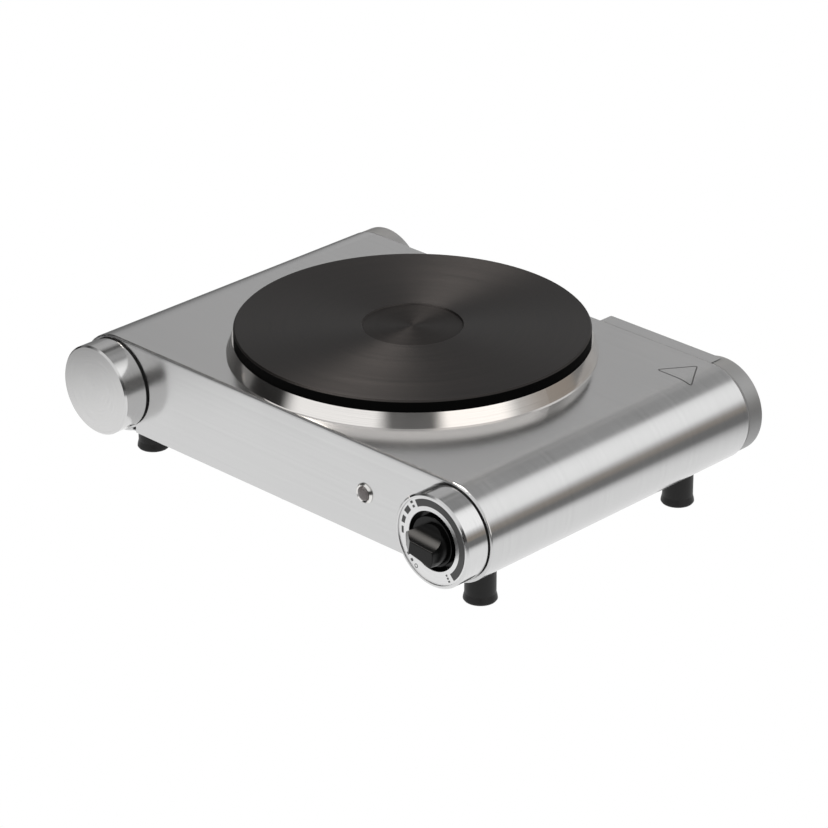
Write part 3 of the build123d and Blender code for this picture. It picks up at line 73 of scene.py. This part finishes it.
class Nodes:
    """A short way to write a node tree."""

    def __init__(self, tree):
        self.tree = tree
        self.tree.nodes.clear()

    def add(self, kind, settings=None, **inputs):
        node = self.tree.nodes.new(kind)
        for key, value in (settings or {}).items():
            setattr(node, key, value)
        for key, value in inputs.items():
            self.put(node, key, value)
        return node

    def put(self, node, key, value):
        """Sets or links an input, by its number (i0, i1, ...) or by its name."""
        numbered = key[0] == "i" and key[1:].isdigit()
        socket = node.inputs[int(key[1:])] if numbered else node.inputs[key.replace("_", " ")]
        if isinstance(value, bpy.types.NodeSocket):
            self.tree.links.new(value, socket)
        else:
            socket.default_value = value

    def math(self, operation, a, b=None, c=None):
        node = self.add("ShaderNodeMath", {"operation": operation}, i0=a)
        if b is not None:
            self.put(node, "i1", b)
        if c is not None:
            self.put(node, "i2", c)
        return node.outputs[0]

    def vector(self, operation, a, b=None):
        node = self.add("ShaderNodeVectorMath", {"operation": operation}, i0=a)
        if b is not None:
            self.put(node, "i1", b)
        return node.outputs["Value" if operation == "LENGTH" else "Vector"]

    def spread(self, value, low, high, new_low, new_high, smooth=False):
        """Maps low..high to new_low..new_high, and goes no further."""
        kind = "SMOOTHSTEP" if smooth else "LINEAR"
        node = self.add("ShaderNodeMapRange", {"interpolation_type": kind, "clamp": True}, Value=value)
        for index, number in enumerate((low, high, new_low, new_high)):
            self.put(node, f"i{index + 1}", number)
        return node.outputs["Result"]

    def vary(self, noise, low, high, span=NOISE_SPAN):
        """Stretches a noise's usual span to low..high."""
        return self.spread(noise, *span, low, high)

    def weigh(self, a, share, b):
        """The sum of two values, with that share of the first."""
        return self.math("ADD", self.math("MULTIPLY", a, share), self.math("MULTIPLY", b, 1 - share))

    def mix(self, factor, a, b):
        """Blends two colours."""
        node = self.add("ShaderNodeMix", {"data_type": "RGBA"})
        self.put(node, "i0", factor)
        self.put(node, "i6", a)
        self.put(node, "i7", b)
        return node.outputs[2]

    def noise(self, vector, scale=1.0, detail=2.0, rough=0.5):
        node = self.add("ShaderNodeTexNoise", {"noise_dimensions": "3D"}, Vector=vector)
        node.inputs["Scale"].default_value = scale
        node.inputs["Detail"].default_value = detail
        node.inputs["Roughness"].default_value = rough
        return node.outputs["Fac"]

    def stretched(self, vector, scale):
        node = self.add("ShaderNodeMapping", {"vector_type": "POINT"}, Vector=vector)
        node.inputs["Scale"].default_value = scale
        return node.outputs["Vector"]

    def bump(self, height, distance, strength, normal=None):
        node = self.add("ShaderNodeBump", Height=height)
        node.inputs["Distance"].default_value = distance
        node.inputs["Strength"].default_value = strength
        if normal is not None:
            self.put(node, "Normal", normal)
        return node.outputs["Normal"]


def grey(value, warm=0.0):
    return (value * (1 + warm), value, value * (1 - warm), 1.0)


def shades(colour, darker, lighter):
    """A darker and a lighter shade of a colour."""
    dark = tuple(part * darker for part in colour) + (1.0,)
    light = tuple(min(1.0, part * lighter) for part in colour) + (1.0,)
    return dark, light


def material(name):
    """A new material: it, its nodes, its shader and the object's own coordinates."""
    made = bpy.data.materials.new(name)
    made.use_nodes = True
    nodes = Nodes(made.node_tree)
    shader = nodes.add("ShaderNodeBsdfPrincipled")
    out = nodes.add("ShaderNodeOutputMaterial")
    made.node_tree.links.new(shader.outputs["BSDF"], out.inputs["Surface"])
    where = nodes.add("ShaderNodeTexCoord").outputs["Object"]
    return made, nodes, shader, where


def settings(shader, **values):
    """Sets constants on the shader's own sockets."""
    for key, value in values.items():
        shader.inputs[key.replace("_", " ")].default_value = value


# ---------------------------------------------------------------- materials
GRAIN_ALONG, GRAIN_ACROSS = 7.0, 2600.0     # brushed lines: noise scale along and across them, per metre
BROAD_GRAIN = 0.16                          # the wider streaks' scale, as a share of the fine ones'
RING_TURN = 1.3                             # turned lines: how fast the noise changes round the axis


def brushed_sheet(name, base, across, rough, depth):
    """Sheet steel with straight grain. across is the direction that the grain lines are stacked in."""
    made, nodes, shader, where = material(name)
    scale = tuple(GRAIN_ACROSS if part else GRAIN_ALONG for part in across)
    streaks = nodes.noise(nodes.stretched(where, scale), detail=3.0, rough=0.6)
    broad = nodes.noise(nodes.stretched(where, tuple(part * BROAD_GRAIN for part in scale)))
    patches = nodes.noise(where, scale=22.0)
    tone = nodes.weigh(streaks, 0.55, broad)
    colour = nodes.mix(nodes.vary(tone, 0.0, 1.0), grey(base * 0.96), grey(base * 1.03))
    nodes.put(shader, "Base Color", colour)
    roughness = nodes.vary(tone, rough * 0.93, rough * 1.08)
    nodes.put(shader, "Roughness", nodes.math("ADD", roughness, nodes.vary(patches, -0.015, 0.015, PATCH_SPAN)))
    direction = nodes.add("ShaderNodeCombineXYZ")
    for index, part in enumerate(across):
        direction.inputs[index].default_value = part
    nodes.put(shader, "Tangent", direction.outputs[0])
    nodes.put(shader, "Normal", nodes.bump(streaks, depth, 0.2))
    settings(shader, Metallic=1.0, Anisotropic=0.6)
    return made


def turned(nodes, where, centre, axis, way):
    """Radius, angle, the across-the-grain direction and the height along the axis of a turned piece.

    way leans the direction along the axis, so that it isn't lost where the wall is parallel to it.
    """
    offset = nodes.vector("SUBTRACT", where, centre)
    flat = nodes.vector("MULTIPLY", offset, tuple(0.0 if index == axis else 1.0 for index in range(3)))
    radius = nodes.vector("LENGTH", flat)
    parts = nodes.add("ShaderNodeSeparateXYZ", Vector=flat)
    angle = nodes.math("ARCTAN2", parts.outputs[3 - axis], parts.outputs[0])
    outward = nodes.vector("NORMALIZE", flat)
    direction = nodes.vector("ADD", outward, tuple(way if index == axis else 0.0 for index in range(3)))
    height = nodes.add("ShaderNodeSeparateXYZ", Vector=offset).outputs[axis]
    return radius, angle, direction, height


def ring_place(nodes, run, rings, angle, turn):
    """Where to read a noise so that it makes rings: fast along run, slow round the axis."""
    return nodes.add("ShaderNodeCombineXYZ", X=nodes.math("MULTIPLY", run, rings),
                     Y=nodes.math("MULTIPLY", angle, turn)).outputs[0]


def turned_metal(name, base, centre, axis, way, rough, rings=3500.0, warm=0.0, aniso=0.6, depth=0.000006):
    """Bright metal with fine rings round an axis."""
    made, nodes, shader, where = material(name)
    radius, angle, direction, height = turned(nodes, where, centre, axis, way)
    run = nodes.math("ADD", radius, height)
    lines = nodes.noise(ring_place(nodes, run, rings, angle, RING_TURN), detail=2.5, rough=0.6)
    patches = nodes.noise(where, scale=60.0)
    colour = nodes.mix(nodes.vary(lines, 0.0, 1.0), grey(base * 0.94, warm), grey(base * 1.04, warm))
    nodes.put(shader, "Base Color", colour)
    roughness = nodes.vary(lines, rough * 0.88, rough * 1.12)
    nodes.put(shader, "Roughness", nodes.math("ADD", roughness, nodes.vary(patches, -0.012, 0.012, PATCH_SPAN)))
    nodes.put(shader, "Tangent", direction)
    nodes.put(shader, "Normal", nodes.bump(lines, depth, 0.3))
    settings(shader, Metallic=1.0, Anisotropic=aniso)
    return made


IRON_DARK, IRON_LIGHT = (0.031, 0.0285, 0.0275, 1), (0.053, 0.0485, 0.047, 1)
IRON_SIDE = (0.003, 0.003, 0.003, 1)
IRON_TURNED_DEPTH = (-1.0 * MM, -0.7 * MM)  # below the plate's top, where turned face becomes rough side
IRON_SIDE_ROUGHER = 0.2


def cast_iron(name, centre):
    """The plate: black-coated, turned on top, rough on its side."""
    made, nodes, shader, where = material(name)
    radius, angle, direction, height = turned(nodes, where, centre, ABOUT_Z, -1.0)
    rings = nodes.noise(ring_place(nodes, radius, 2600.0, angle, 0.8), rough=0.65)
    broad = nodes.noise(ring_place(nodes, radius, 420.0, angle, 0.6), detail=1.0)
    grain = nodes.noise(where, scale=3200.0)
    top = nodes.spread(height, *IRON_TURNED_DEPTH, 0.0, 1.0)
    tone = nodes.weigh(rings, 0.6, broad)
    turned_colour = nodes.mix(nodes.vary(tone, 0.0, 1.0), IRON_DARK, IRON_LIGHT)
    nodes.put(shader, "Base Color", nodes.mix(top, IRON_SIDE, turned_colour))
    nodes.put(shader, "Metallic", nodes.spread(top, 0.0, 1.0, 0.0, 0.95))
    roughness = nodes.math("ADD", nodes.vary(tone, 0.36, 0.45), nodes.vary(grain, -0.03, 0.03))
    side_rougher = nodes.spread(top, 0.0, 1.0, IRON_SIDE_ROUGHER, 0.0)
    nodes.put(shader, "Roughness", nodes.math("ADD", roughness, side_rougher))
    nodes.put(shader, "Tangent", direction)
    turned_normal = nodes.bump(rings, 0.000010, 0.35)
    nodes.put(shader, "Normal", nodes.bump(grain, 0.000006, 0.2, turned_normal))
    settings(shader, Anisotropic=0.85, Specular_IOR_Level=0.01)
    return made


def moulded(name, colour, rough, grain=2200.0, depth=0.000012, level=0.5, vary=0.25):
    """A moulded plastic or rubber surface with fine texture and faint flow marks."""
    made, nodes, shader, where = material(name)
    fine = nodes.noise(where, scale=grain)
    flow = nodes.noise(nodes.stretched(where, (60.0, 60.0, 160.0)), detail=3.0)
    tone = nodes.weigh(fine, 0.4, flow)
    nodes.put(shader, "Base Color", nodes.mix(nodes.vary(tone, 0.0, 1.0), *shades(colour, 1 - vary, 1 + vary)))
    nodes.put(shader, "Roughness", nodes.vary(tone, rough * 0.9, rough * 1.12))
    nodes.put(shader, "Normal", nodes.bump(fine, depth, 0.3))
    settings(shader, Specular_IOR_Level=level)
    return made


def plain_metal(name, colour, rough, vary=0.07):
    """Plated, cast or drawn metal with a faint mottle."""
    made, nodes, shader, where = material(name)
    mottle = nodes.noise(where, scale=900.0, detail=3.0, rough=0.6)
    wide = nodes.noise(where, scale=72.0)
    tone = nodes.weigh(mottle, 0.5, wide)
    nodes.put(shader, "Base Color", nodes.mix(nodes.vary(tone, 0.0, 1.0), *shades(colour, 1 - vary, 1 + vary)))
    nodes.put(shader, "Roughness", nodes.vary(tone, rough * 0.85, rough * 1.2))
    nodes.put(shader, "Normal", nodes.bump(mottle, 0.000008, 0.25))
    settings(shader, Metallic=1.0)
    return made


def zinc_spangle(name, colour):
    """Galvanised sheet with soft crystal patches."""
    made, nodes, shader, where = material(name)
    cells = nodes.add("ShaderNodeTexVoronoi", {"feature": "F1"}, Vector=where)
    cells.inputs["Scale"].default_value = 140.0
    shade = nodes.add("ShaderNodeSeparateXYZ", Vector=cells.outputs["Color"]).outputs[0]
    fine = nodes.noise(where, scale=700.0)
    tone = nodes.weigh(shade, 0.7, fine)
    nodes.put(shader, "Base Color", nodes.mix(tone, *shades(colour, 0.9, 1.08)))
    nodes.put(shader, "Roughness", nodes.spread(tone, 0.0, 1.0, 0.28, 0.48))
    nodes.put(shader, "Normal", nodes.bump(fine, 0.00001, 0.2))
    settings(shader, Metallic=1.0)
    return made


def clear_plastic(name):
    """The lamp's pinkish clear lens."""
    made, nodes, shader, where = material(name)
    cloud = nodes.noise(where, scale=500.0)
    nodes.put(shader, "Base Color", nodes.mix(cloud, (0.86, 0.76, 0.75, 1), (0.93, 0.84, 0.83, 1)))
    nodes.put(shader, "Roughness", nodes.vary(cloud, 0.10, 0.2))
    settings(shader, Transmission_Weight=0.85, IOR=1.49)
    return made


def printed_ink(name, value):
    """A matt print on the metal."""
    made, nodes, shader, where = material(name)
    grain = nodes.noise(where, scale=3000.0)
    nodes.put(shader, "Base Color", nodes.mix(grain, *shades((value, value, value), 0.8, 1.2)))
    nodes.put(shader, "Roughness", nodes.vary(grain, 0.42, 0.55))
    settings(shader, Specular_IOR_Level=0.3)
    return made


right_cap = (CAP_X, cap_low.y, CAP_Z)
left_cap = (-CAP_X, cap_low.y, CAP_Z)
looks = {
    "body_steel": brushed_sheet("brushed_deck", 0.60, (0, 1, 0), 0.21, 0.000005),
    "polished_rim": turned_metal("polished_rim", 0.74, (PLATE_X, PLATE_Y, DECK_Z), ABOUT_Z, -1.0, 0.11,
                                 rings=5200.0, warm=0.03, aniso=0.5, depth=0.000003),
    "cast_iron": cast_iron("turned_cast_iron", (PLATE_X, PLATE_Y, PLATE_TOP_Z)),
    "dial_print": turned_metal("satin_dial", 0.76, right_cap, ABOUT_Y, 1.0, 0.34, aniso=0.3),
    "black_plastic": moulded("knob_plastic", (0.002, 0.002, 0.002), 0.20, grain=1600.0, depth=0.000004,
                             level=0.22),
    "foot_rubber": moulded("foot_rubber", (0.008, 0.008, 0.008), 0.45, level=0.25),
    "seal_rubber": moulded("seal_rubber", (0.010, 0.010, 0.010), 0.6, level=0.3),
    "seal_grey": moulded("seal_grey", (0.22, 0.22, 0.22), 0.5, vary=0.08),
    "grommet_rubber": moulded("grommet_rubber", (0.014, 0.014, 0.014), 0.55, level=0.35),
    "zinc_sheet": zinc_spangle("zinc_sheet", (0.55, 0.56, 0.57)),
    "bright_shield": plain_metal("bright_shield", (0.8, 0.8, 0.8), 0.2),
    "zinc_screws": plain_metal("zinc_screws", (0.62, 0.62, 0.63), 0.26),
    "turned_steel": plain_metal("turned_steel", (0.58, 0.58, 0.58), 0.24),
    "brass_parts": plain_metal("brass_parts", (0.72, 0.53, 0.25), 0.3),
    "bimetal": plain_metal("bimetal", (0.55, 0.50, 0.44), 0.35),
    "moulded_phenolic": moulded("phenolic", (0.10, 0.06, 0.04), 0.5),
    "steatite": moulded("steatite", (0.80, 0.77, 0.70), 0.7, grain=1400.0, depth=0.00002, level=0.3, vary=0.06),
    "coil_wire": plain_metal("coil_wire", (0.33, 0.31, 0.29), 0.5),
    "chrome_bezel": plain_metal("chrome_bezel", (0.78, 0.77, 0.75), 0.12, vary=0.03),
    "clear_lens": clear_plastic("clear_lens"),
    "white_plastic": moulded("white_plastic", (0.78, 0.76, 0.72), 0.45, vary=0.05),
    "wire_insulation": moulded("wire_insulation", (0.62, 0.58, 0.5), 0.6, vary=0.08),
}
panel_look = brushed_sheet("brushed_panel", 0.62, (0, 0, 1), 0.20, 0.000004)
node_looks = {
    "front_panel": panel_look,
    "rear_panel": panel_look,
    "control_cap": turned_metal("cap_control", 0.66, right_cap, ABOUT_Y, 1.0, 0.14),
    "end_cap_front_left": turned_metal("cap_front_left", 0.64, left_cap, ABOUT_Y, 1.0, 0.14, warm=0.004),
    "end_cap_rear_left": turned_metal("cap_rear_left", 0.36, (-CAP_X, REAR_Y, CAP_Z), ABOUT_Y, -1.0, 0.5,
                                      aniso=0.0),
    "end_cap_rear_right": turned_metal("cap_rear_right", 0.37, (CAP_X, REAR_Y, CAP_Z), ABOUT_Y, -1.0, 0.5,
                                       aniso=0.0),
}

slot_of = {part["node"]: part["material_slot"] for part in frame["record"]["subparts"]}
for node_name, node in frame["nodes"].items():
    look = node_looks.get(node_name) or looks.get(slot_of[node_name])
    if not node.material_slots:
        node.data.materials.append(look)
    for place in node.material_slots:
        place.material = look

# ---------------------------------------------------------------- printed marks
PRINT_LIFT = 0.03 * MM          # how far a print stands off the metal
DIAL_STEP = 3                   # degrees of an arc that one face spans, at most
RING_SIDES = 24

# The dial's printed sectors: inner and outer radius in mm, then where each starts and ends, in degrees
# clockwise from the top.
DIAL_SECTORS = (
    (18.0, 21.8, 328, 498),         # the long arc
    (19.2, 20.6, 263.5, 274.0),     # three bars that grow towards it
    (18.8, 21.0, 280.0, 291.5),
    (18.5, 21.5, 298.5, 310.5),
    (18.6, 19.8, 317.5, 322.5),     # two small ticks side by side, before the long arc
    (20.9, 22.1, 317.5, 322.5),
)
START_DOTS, START_DOT_HALF, START_DOT_SPAN = (222.5, 233.0), 2.2, (19.3, 20.9)
END_DOTS, END_DOT_DEPTH, END_DOT_SPAN = (17.4, 19.0, 20.6), 1.0, (145.2, 148.8)
OFF_RING_PLACE = (20.2, 212.0)      # the ring that stands for off: its distance from the middle, and its clock
OFF_RING_OUTER, OFF_RING_INNER = 1.15, 0.75

# The deck's plain triangle, as distances along the sheet and back from the middle, in mm.
MARK_CORNERS = ((107.2, 77.9), (130.8, 77.5), (119.3, 95.4))
MARK_CORNER_R = 1.2             # large enough that the stroke's inner edge doesn't fold over at a corner
MARK_CORNER_STEPS = 6
MARK_WIDTH = 0.75


def finish_mesh(name, build, look):
    """Makes a printed piece that rides on the body."""
    mesh = bpy.data.meshes.new(name)
    build.to_mesh(mesh)
    build.free()
    piece = bpy.data.objects.new(name, mesh)
    scene.collection.objects.link(piece)
    piece.data.materials.append(look)
    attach(piece, root_body)


def dial_point(radius, clock):
    """A point on the dial. clock is in degrees clockwise from the top, seen from the front."""
    angle = math.radians(clock)
    return Vector((CAP_X + radius * MM * math.sin(angle), DIAL_FACE_Y - PRINT_LIFT,
                   CAP_Z + radius * MM * math.cos(angle)))


def dial_sector(build, inner, outer, start, end):
    """Part of a ring on the dial. Its faces look out of the dial."""
    steps = max(2, int(abs(end - start) / DIAL_STEP))
    rows = []
    for index in range(steps + 1):
        clock = start + (end - start) * index / steps
        rows.append((build.verts.new(dial_point(inner, clock)), build.verts.new(dial_point(outer, clock))))
    for (a, b), (c, d) in zip(rows, rows[1:]):
        build.faces.new((a, c, d, b))


def dial_ring(build, radius, clock, outer, inner):
    """A small whole ring on the dial, which goes round the other way, so its faces do too."""
    centre = dial_point(radius, clock)
    rows = []
    for index in range(RING_SIDES):
        turn = math.tau * index / RING_SIDES
        side = Vector((math.cos(turn), 0, math.sin(turn)))
        rows.append((build.verts.new(centre + side * inner * MM), build.verts.new(centre + side * outer * MM)))
    for (a, b), (c, d) in zip(rows, rows[1:] + rows[:1]):
        build.faces.new((a, b, d, c))


def deck_point(along, back):
    """A point on the sheet: along is measured over the flat deck and then round the right barrel."""
    turn = max(0.0, (along * MM - BARREL_X) / BARREL_R)
    if turn == 0.0:
        return Vector((along * MM, back * MM, DECK_Z + PRINT_LIFT))
    radius = BARREL_R + PRINT_LIFT
    return Vector((BARREL_X + radius * math.sin(turn), back * MM, AXIS_Z + radius * math.cos(turn)))


def rounded_loop(corners, radius):
    """The corners' outline as points, with each corner rounded."""
    points = []
    for index, corner in enumerate(corners):
        here = Vector(corner)
        to_before = (Vector(corners[index - 1]) - here).normalized()
        to_after = (Vector(corners[(index + 1) % len(corners)]) - here).normalized()
        half = to_before.angle(to_after) / 2
        start = here + to_before * radius / math.tan(half)
        end = here + to_after * radius / math.tan(half)
        for step in range(MARK_CORNER_STEPS + 1):
            t = step / MARK_CORNER_STEPS
            points.append(tuple(start * (1 - t) ** 2 + here * 2 * t * (1 - t) + end * t ** 2))
    return points


def deck_loop(build, loop, width):
    """A flat line of that width along a closed loop on the sheet, divided about every millimetre."""
    fine = []
    for (x0, y0), (x1, y1) in zip(loop, loop[1:] + loop[:1]):
        count = max(2, int(math.hypot(x1 - x0, y1 - y0)))
        fine += [(x0 + (x1 - x0) * i / count, y0 + (y1 - y0) * i / count) for i in range(count)]
    rows = []
    for index, (x, y) in enumerate(fine):
        before, after = fine[index - 1], fine[(index + 1) % len(fine)]
        run = Vector((after[0] - before[0], after[1] - before[1])).normalized()
        side = Vector((-run.y, run.x)) * width / 2
        rows.append((build.verts.new(deck_point(x - side.x, y - side.y)),
                     build.verts.new(deck_point(x + side.x, y + side.y))))
    for (a, b), (c, d) in zip(rows, rows[1:] + rows[:1]):
        build.faces.new((a, c, d, b))


marks = bmesh.new()
for sector in DIAL_SECTORS:
    dial_sector(marks, *sector)
for clock in START_DOTS:
    dial_sector(marks, *START_DOT_SPAN, clock - START_DOT_HALF, clock + START_DOT_HALF)
dial_ring(marks, *OFF_RING_PLACE, OFF_RING_OUTER, OFF_RING_INNER)
for inner in END_DOTS:
    dial_sector(marks, inner, inner + END_DOT_DEPTH, *END_DOT_SPAN)
finish_mesh("dial_marks", marks, printed_ink("printed_ink", 0.075))

triangle = bmesh.new()
deck_loop(triangle, rounded_loop(MARK_CORNERS, MARK_CORNER_R), MARK_WIDTH)
finish_mesh("deck_mark", triangle, printed_ink("etched_ink", 0.07))

# ---------------------------------------------------------------- studio
# The camera sees plain white. The object reflects a pale studio with these soft-edged panels, each laid over
# the ones before it. Degrees: the middle's bearing from +X and its height above the floor, half the width and
# height, and how soft the edges are each way. Then the panel's level, and how warm it is.
STUDIO_PANELS = (
    (120, 25, 20, 12, 8, 6, 0.48, 0.0),     # behind
    (190, 24, 47, 14, 9, 6, 0.24, 0.0),     # left: dark, so that the deck and plate have depth
    (176, 36, 30, 14, 9, 6, 0.05, 0.0),
    (168, 54, 54, 15, 10, 6, 0.05, 0.0),
    (94, 48, 22, 8, 8, 4, 0.26, 0.0),       # behind and above
    (190, -2, 48, 15, 10, 5, 0.02, 0.0),    # left, at the floor
    (53, 31, 19, 15, 5, 4, 1.24, 0.0),      # right and behind: light
    (62, -2, 44, 12, 6, 5, 0.28, 0.12),     # right and behind, at the floor: dim and warm
    (-93, 12, 30, 24, 8, 8, 1.06, 0.0),     # in front: light on the panel and caps
    (-9, 12, 24, 24, 7, 8, 1.30, 0.03),     # right: light on the right barrel
    (-46, 6, 17, 16, 6, 6, 0.05, 0.0),      # between those two: the dark bands in the caps
    (176, 65, 38, 9, 10, 5, 9.0, 0.05),     # high left: the key light, which makes the plate's bright wedge
)
STUDIO_LOW, STUDIO_HIGH = grey(0.72), grey(0.9)
STUDIO_RISE = (math.radians(8), math.radians(60))   # the heights between which low becomes high

scene.view_settings.view_transform = "Standard"
scene.view_settings.look = "None"

world = bpy.data.worlds.new("studio")
scene.world = world
world.use_nodes = True
sky = Nodes(world.node_tree)
toward = sky.add("ShaderNodeTexCoord").outputs["Generated"]
parts = sky.add("ShaderNodeSeparateXYZ", Vector=toward)
bearing = sky.math("ARCTAN2", parts.outputs[1], parts.outputs[0])
height = sky.math("ARCSINE", parts.outputs[2])


def soft_band(value, half, soft):
    """1 within half of zero and 0 beyond it, with an edge that is soft each way. Degrees."""
    return sky.spread(value, math.radians(half - soft), math.radians(half + soft), 1, 0, True)


def with_panel(colour, bearing_deg, height_deg, half_bearing, half_height, soft_bearing, soft_height,
               level, warm):
    """The studio's colour with one more panel laid over it."""
    turn = sky.math("WRAP", sky.math("SUBTRACT", bearing, math.radians(bearing_deg)), math.pi, -math.pi)
    across = sky.math("ABSOLUTE", turn)
    up = sky.math("ABSOLUTE", sky.math("SUBTRACT", height, math.radians(height_deg)))
    cover = sky.math("MULTIPLY", soft_band(across, half_bearing, soft_bearing),
                     soft_band(up, half_height, soft_height))
    return sky.mix(cover, colour, grey(level, warm))


studio = sky.mix(sky.spread(height, *STUDIO_RISE, 0, 1, True), STUDIO_LOW, STUDIO_HIGH)
for panel in STUDIO_PANELS:
    studio = with_panel(studio, *panel)
WHITE = (1.0, 1.0, 1.0, 1.0)
backdrop = sky.add("ShaderNodeBackground", Color=WHITE, Strength=1.0)
reflected = sky.add("ShaderNodeBackground", Color=studio, Strength=1.0)
seen = sky.add("ShaderNodeLightPath").outputs["Is Camera Ray"]
chosen = sky.add("ShaderNodeMixShader", i0=seen, i1=reflected.outputs[0], i2=backdrop.outputs[0])
sky.tree.links.new(chosen.outputs[0], sky.add("ShaderNodeOutputWorld").inputs["Surface"])

# The floor: plain white to the camera, lit from within, and clear from below so that the underside can be
# looked at.
FLOOR_HALF = 6.0
FLOOR_DROP = 0.0002             # just under the feet
LIT_MIDDLE = (0.02, -0.04, 0.0)
LIT_NEAR, LIT_FAR = 0.20, 0.38
FLOOR_NEAR_LEVEL, FLOOR_FAR_LEVEL = 1.00, 0.20
sheet = bmesh.new()
sheet.faces.new([sheet.verts.new((x * FLOOR_HALF, y * FLOOR_HALF, 0))
                 for x, y in ((-1, -1), (1, -1), (1, 1), (-1, 1))])
floor_mesh = bpy.data.meshes.new("floor")
sheet.to_mesh(floor_mesh)
sheet.free()
floor = bpy.data.objects.new("floor", floor_mesh)
scene.collection.objects.link(floor)
floor.location.z = -FLOOR_DROP
floor_look = bpy.data.materials.new("floor_white")
floor_look.use_nodes = True
paper = Nodes(floor_look.node_tree)
spot = paper.vector("SUBTRACT", paper.add("ShaderNodeTexCoord").outputs["Object"], LIT_MIDDLE)
# Other rays see the floor glow as a pool of light: FLOOR_NEAR_LEVEL within LIT_NEAR of LIT_MIDDLE, fading to
# FLOOR_FAR_LEVEL beyond LIT_FAR.
light_pool = paper.spread(paper.vector("LENGTH", spot), LIT_NEAR, LIT_FAR, FLOOR_NEAR_LEVEL, FLOOR_FAR_LEVEL, True)
level = paper.mix(paper.add("ShaderNodeLightPath").outputs["Is Camera Ray"], light_pool, WHITE)
glow = paper.add("ShaderNodeEmission", Color=level, Strength=1.0)
clear = paper.add("ShaderNodeBsdfTransparent")
below = paper.add("ShaderNodeNewGeometry").outputs["Backfacing"]
sided = paper.add("ShaderNodeMixShader", i0=below, i1=glow.outputs[0], i2=clear.outputs[0])
paper.tree.links.new(sided.outputs[0], paper.add("ShaderNodeOutputMaterial").inputs["Surface"])
floor.data.materials.append(floor_look)

# ---------------------------------------------------------------- camera
AZIMUTH, ELEVATION, ROLL = math.radians(44.454), math.radians(25.640), math.radians(-0.108)
DISTANCE = 2.0207
TARGET = Vector((-0.27, 10.11, 32.91)) * MM
SENSOR_WIDTH, FOCAL_LENGTH = 36.0, 168.47       # mm
CLIP_NEAR, CLIP_FAR = 0.05, 50.0

back = Vector((math.sin(AZIMUTH) * math.cos(ELEVATION), -math.cos(AZIMUTH) * math.cos(ELEVATION),
               math.sin(ELEVATION)))
lens = bpy.data.cameras.new("camera")
lens.sensor_width = SENSOR_WIDTH
lens.lens = FOCAL_LENGTH
lens.clip_start = CLIP_NEAR
lens.clip_end = CLIP_FAR
camera = bpy.data.objects.new("camera", lens)
scene.collection.objects.link(camera)
camera.location = TARGET + back * DISTANCE
camera.rotation_mode = "QUATERNION"
camera.rotation_quaternion = back.to_track_quat("Z", "Y") @ Quaternion((0, 0, 1), ROLL)
scene.camera = camera
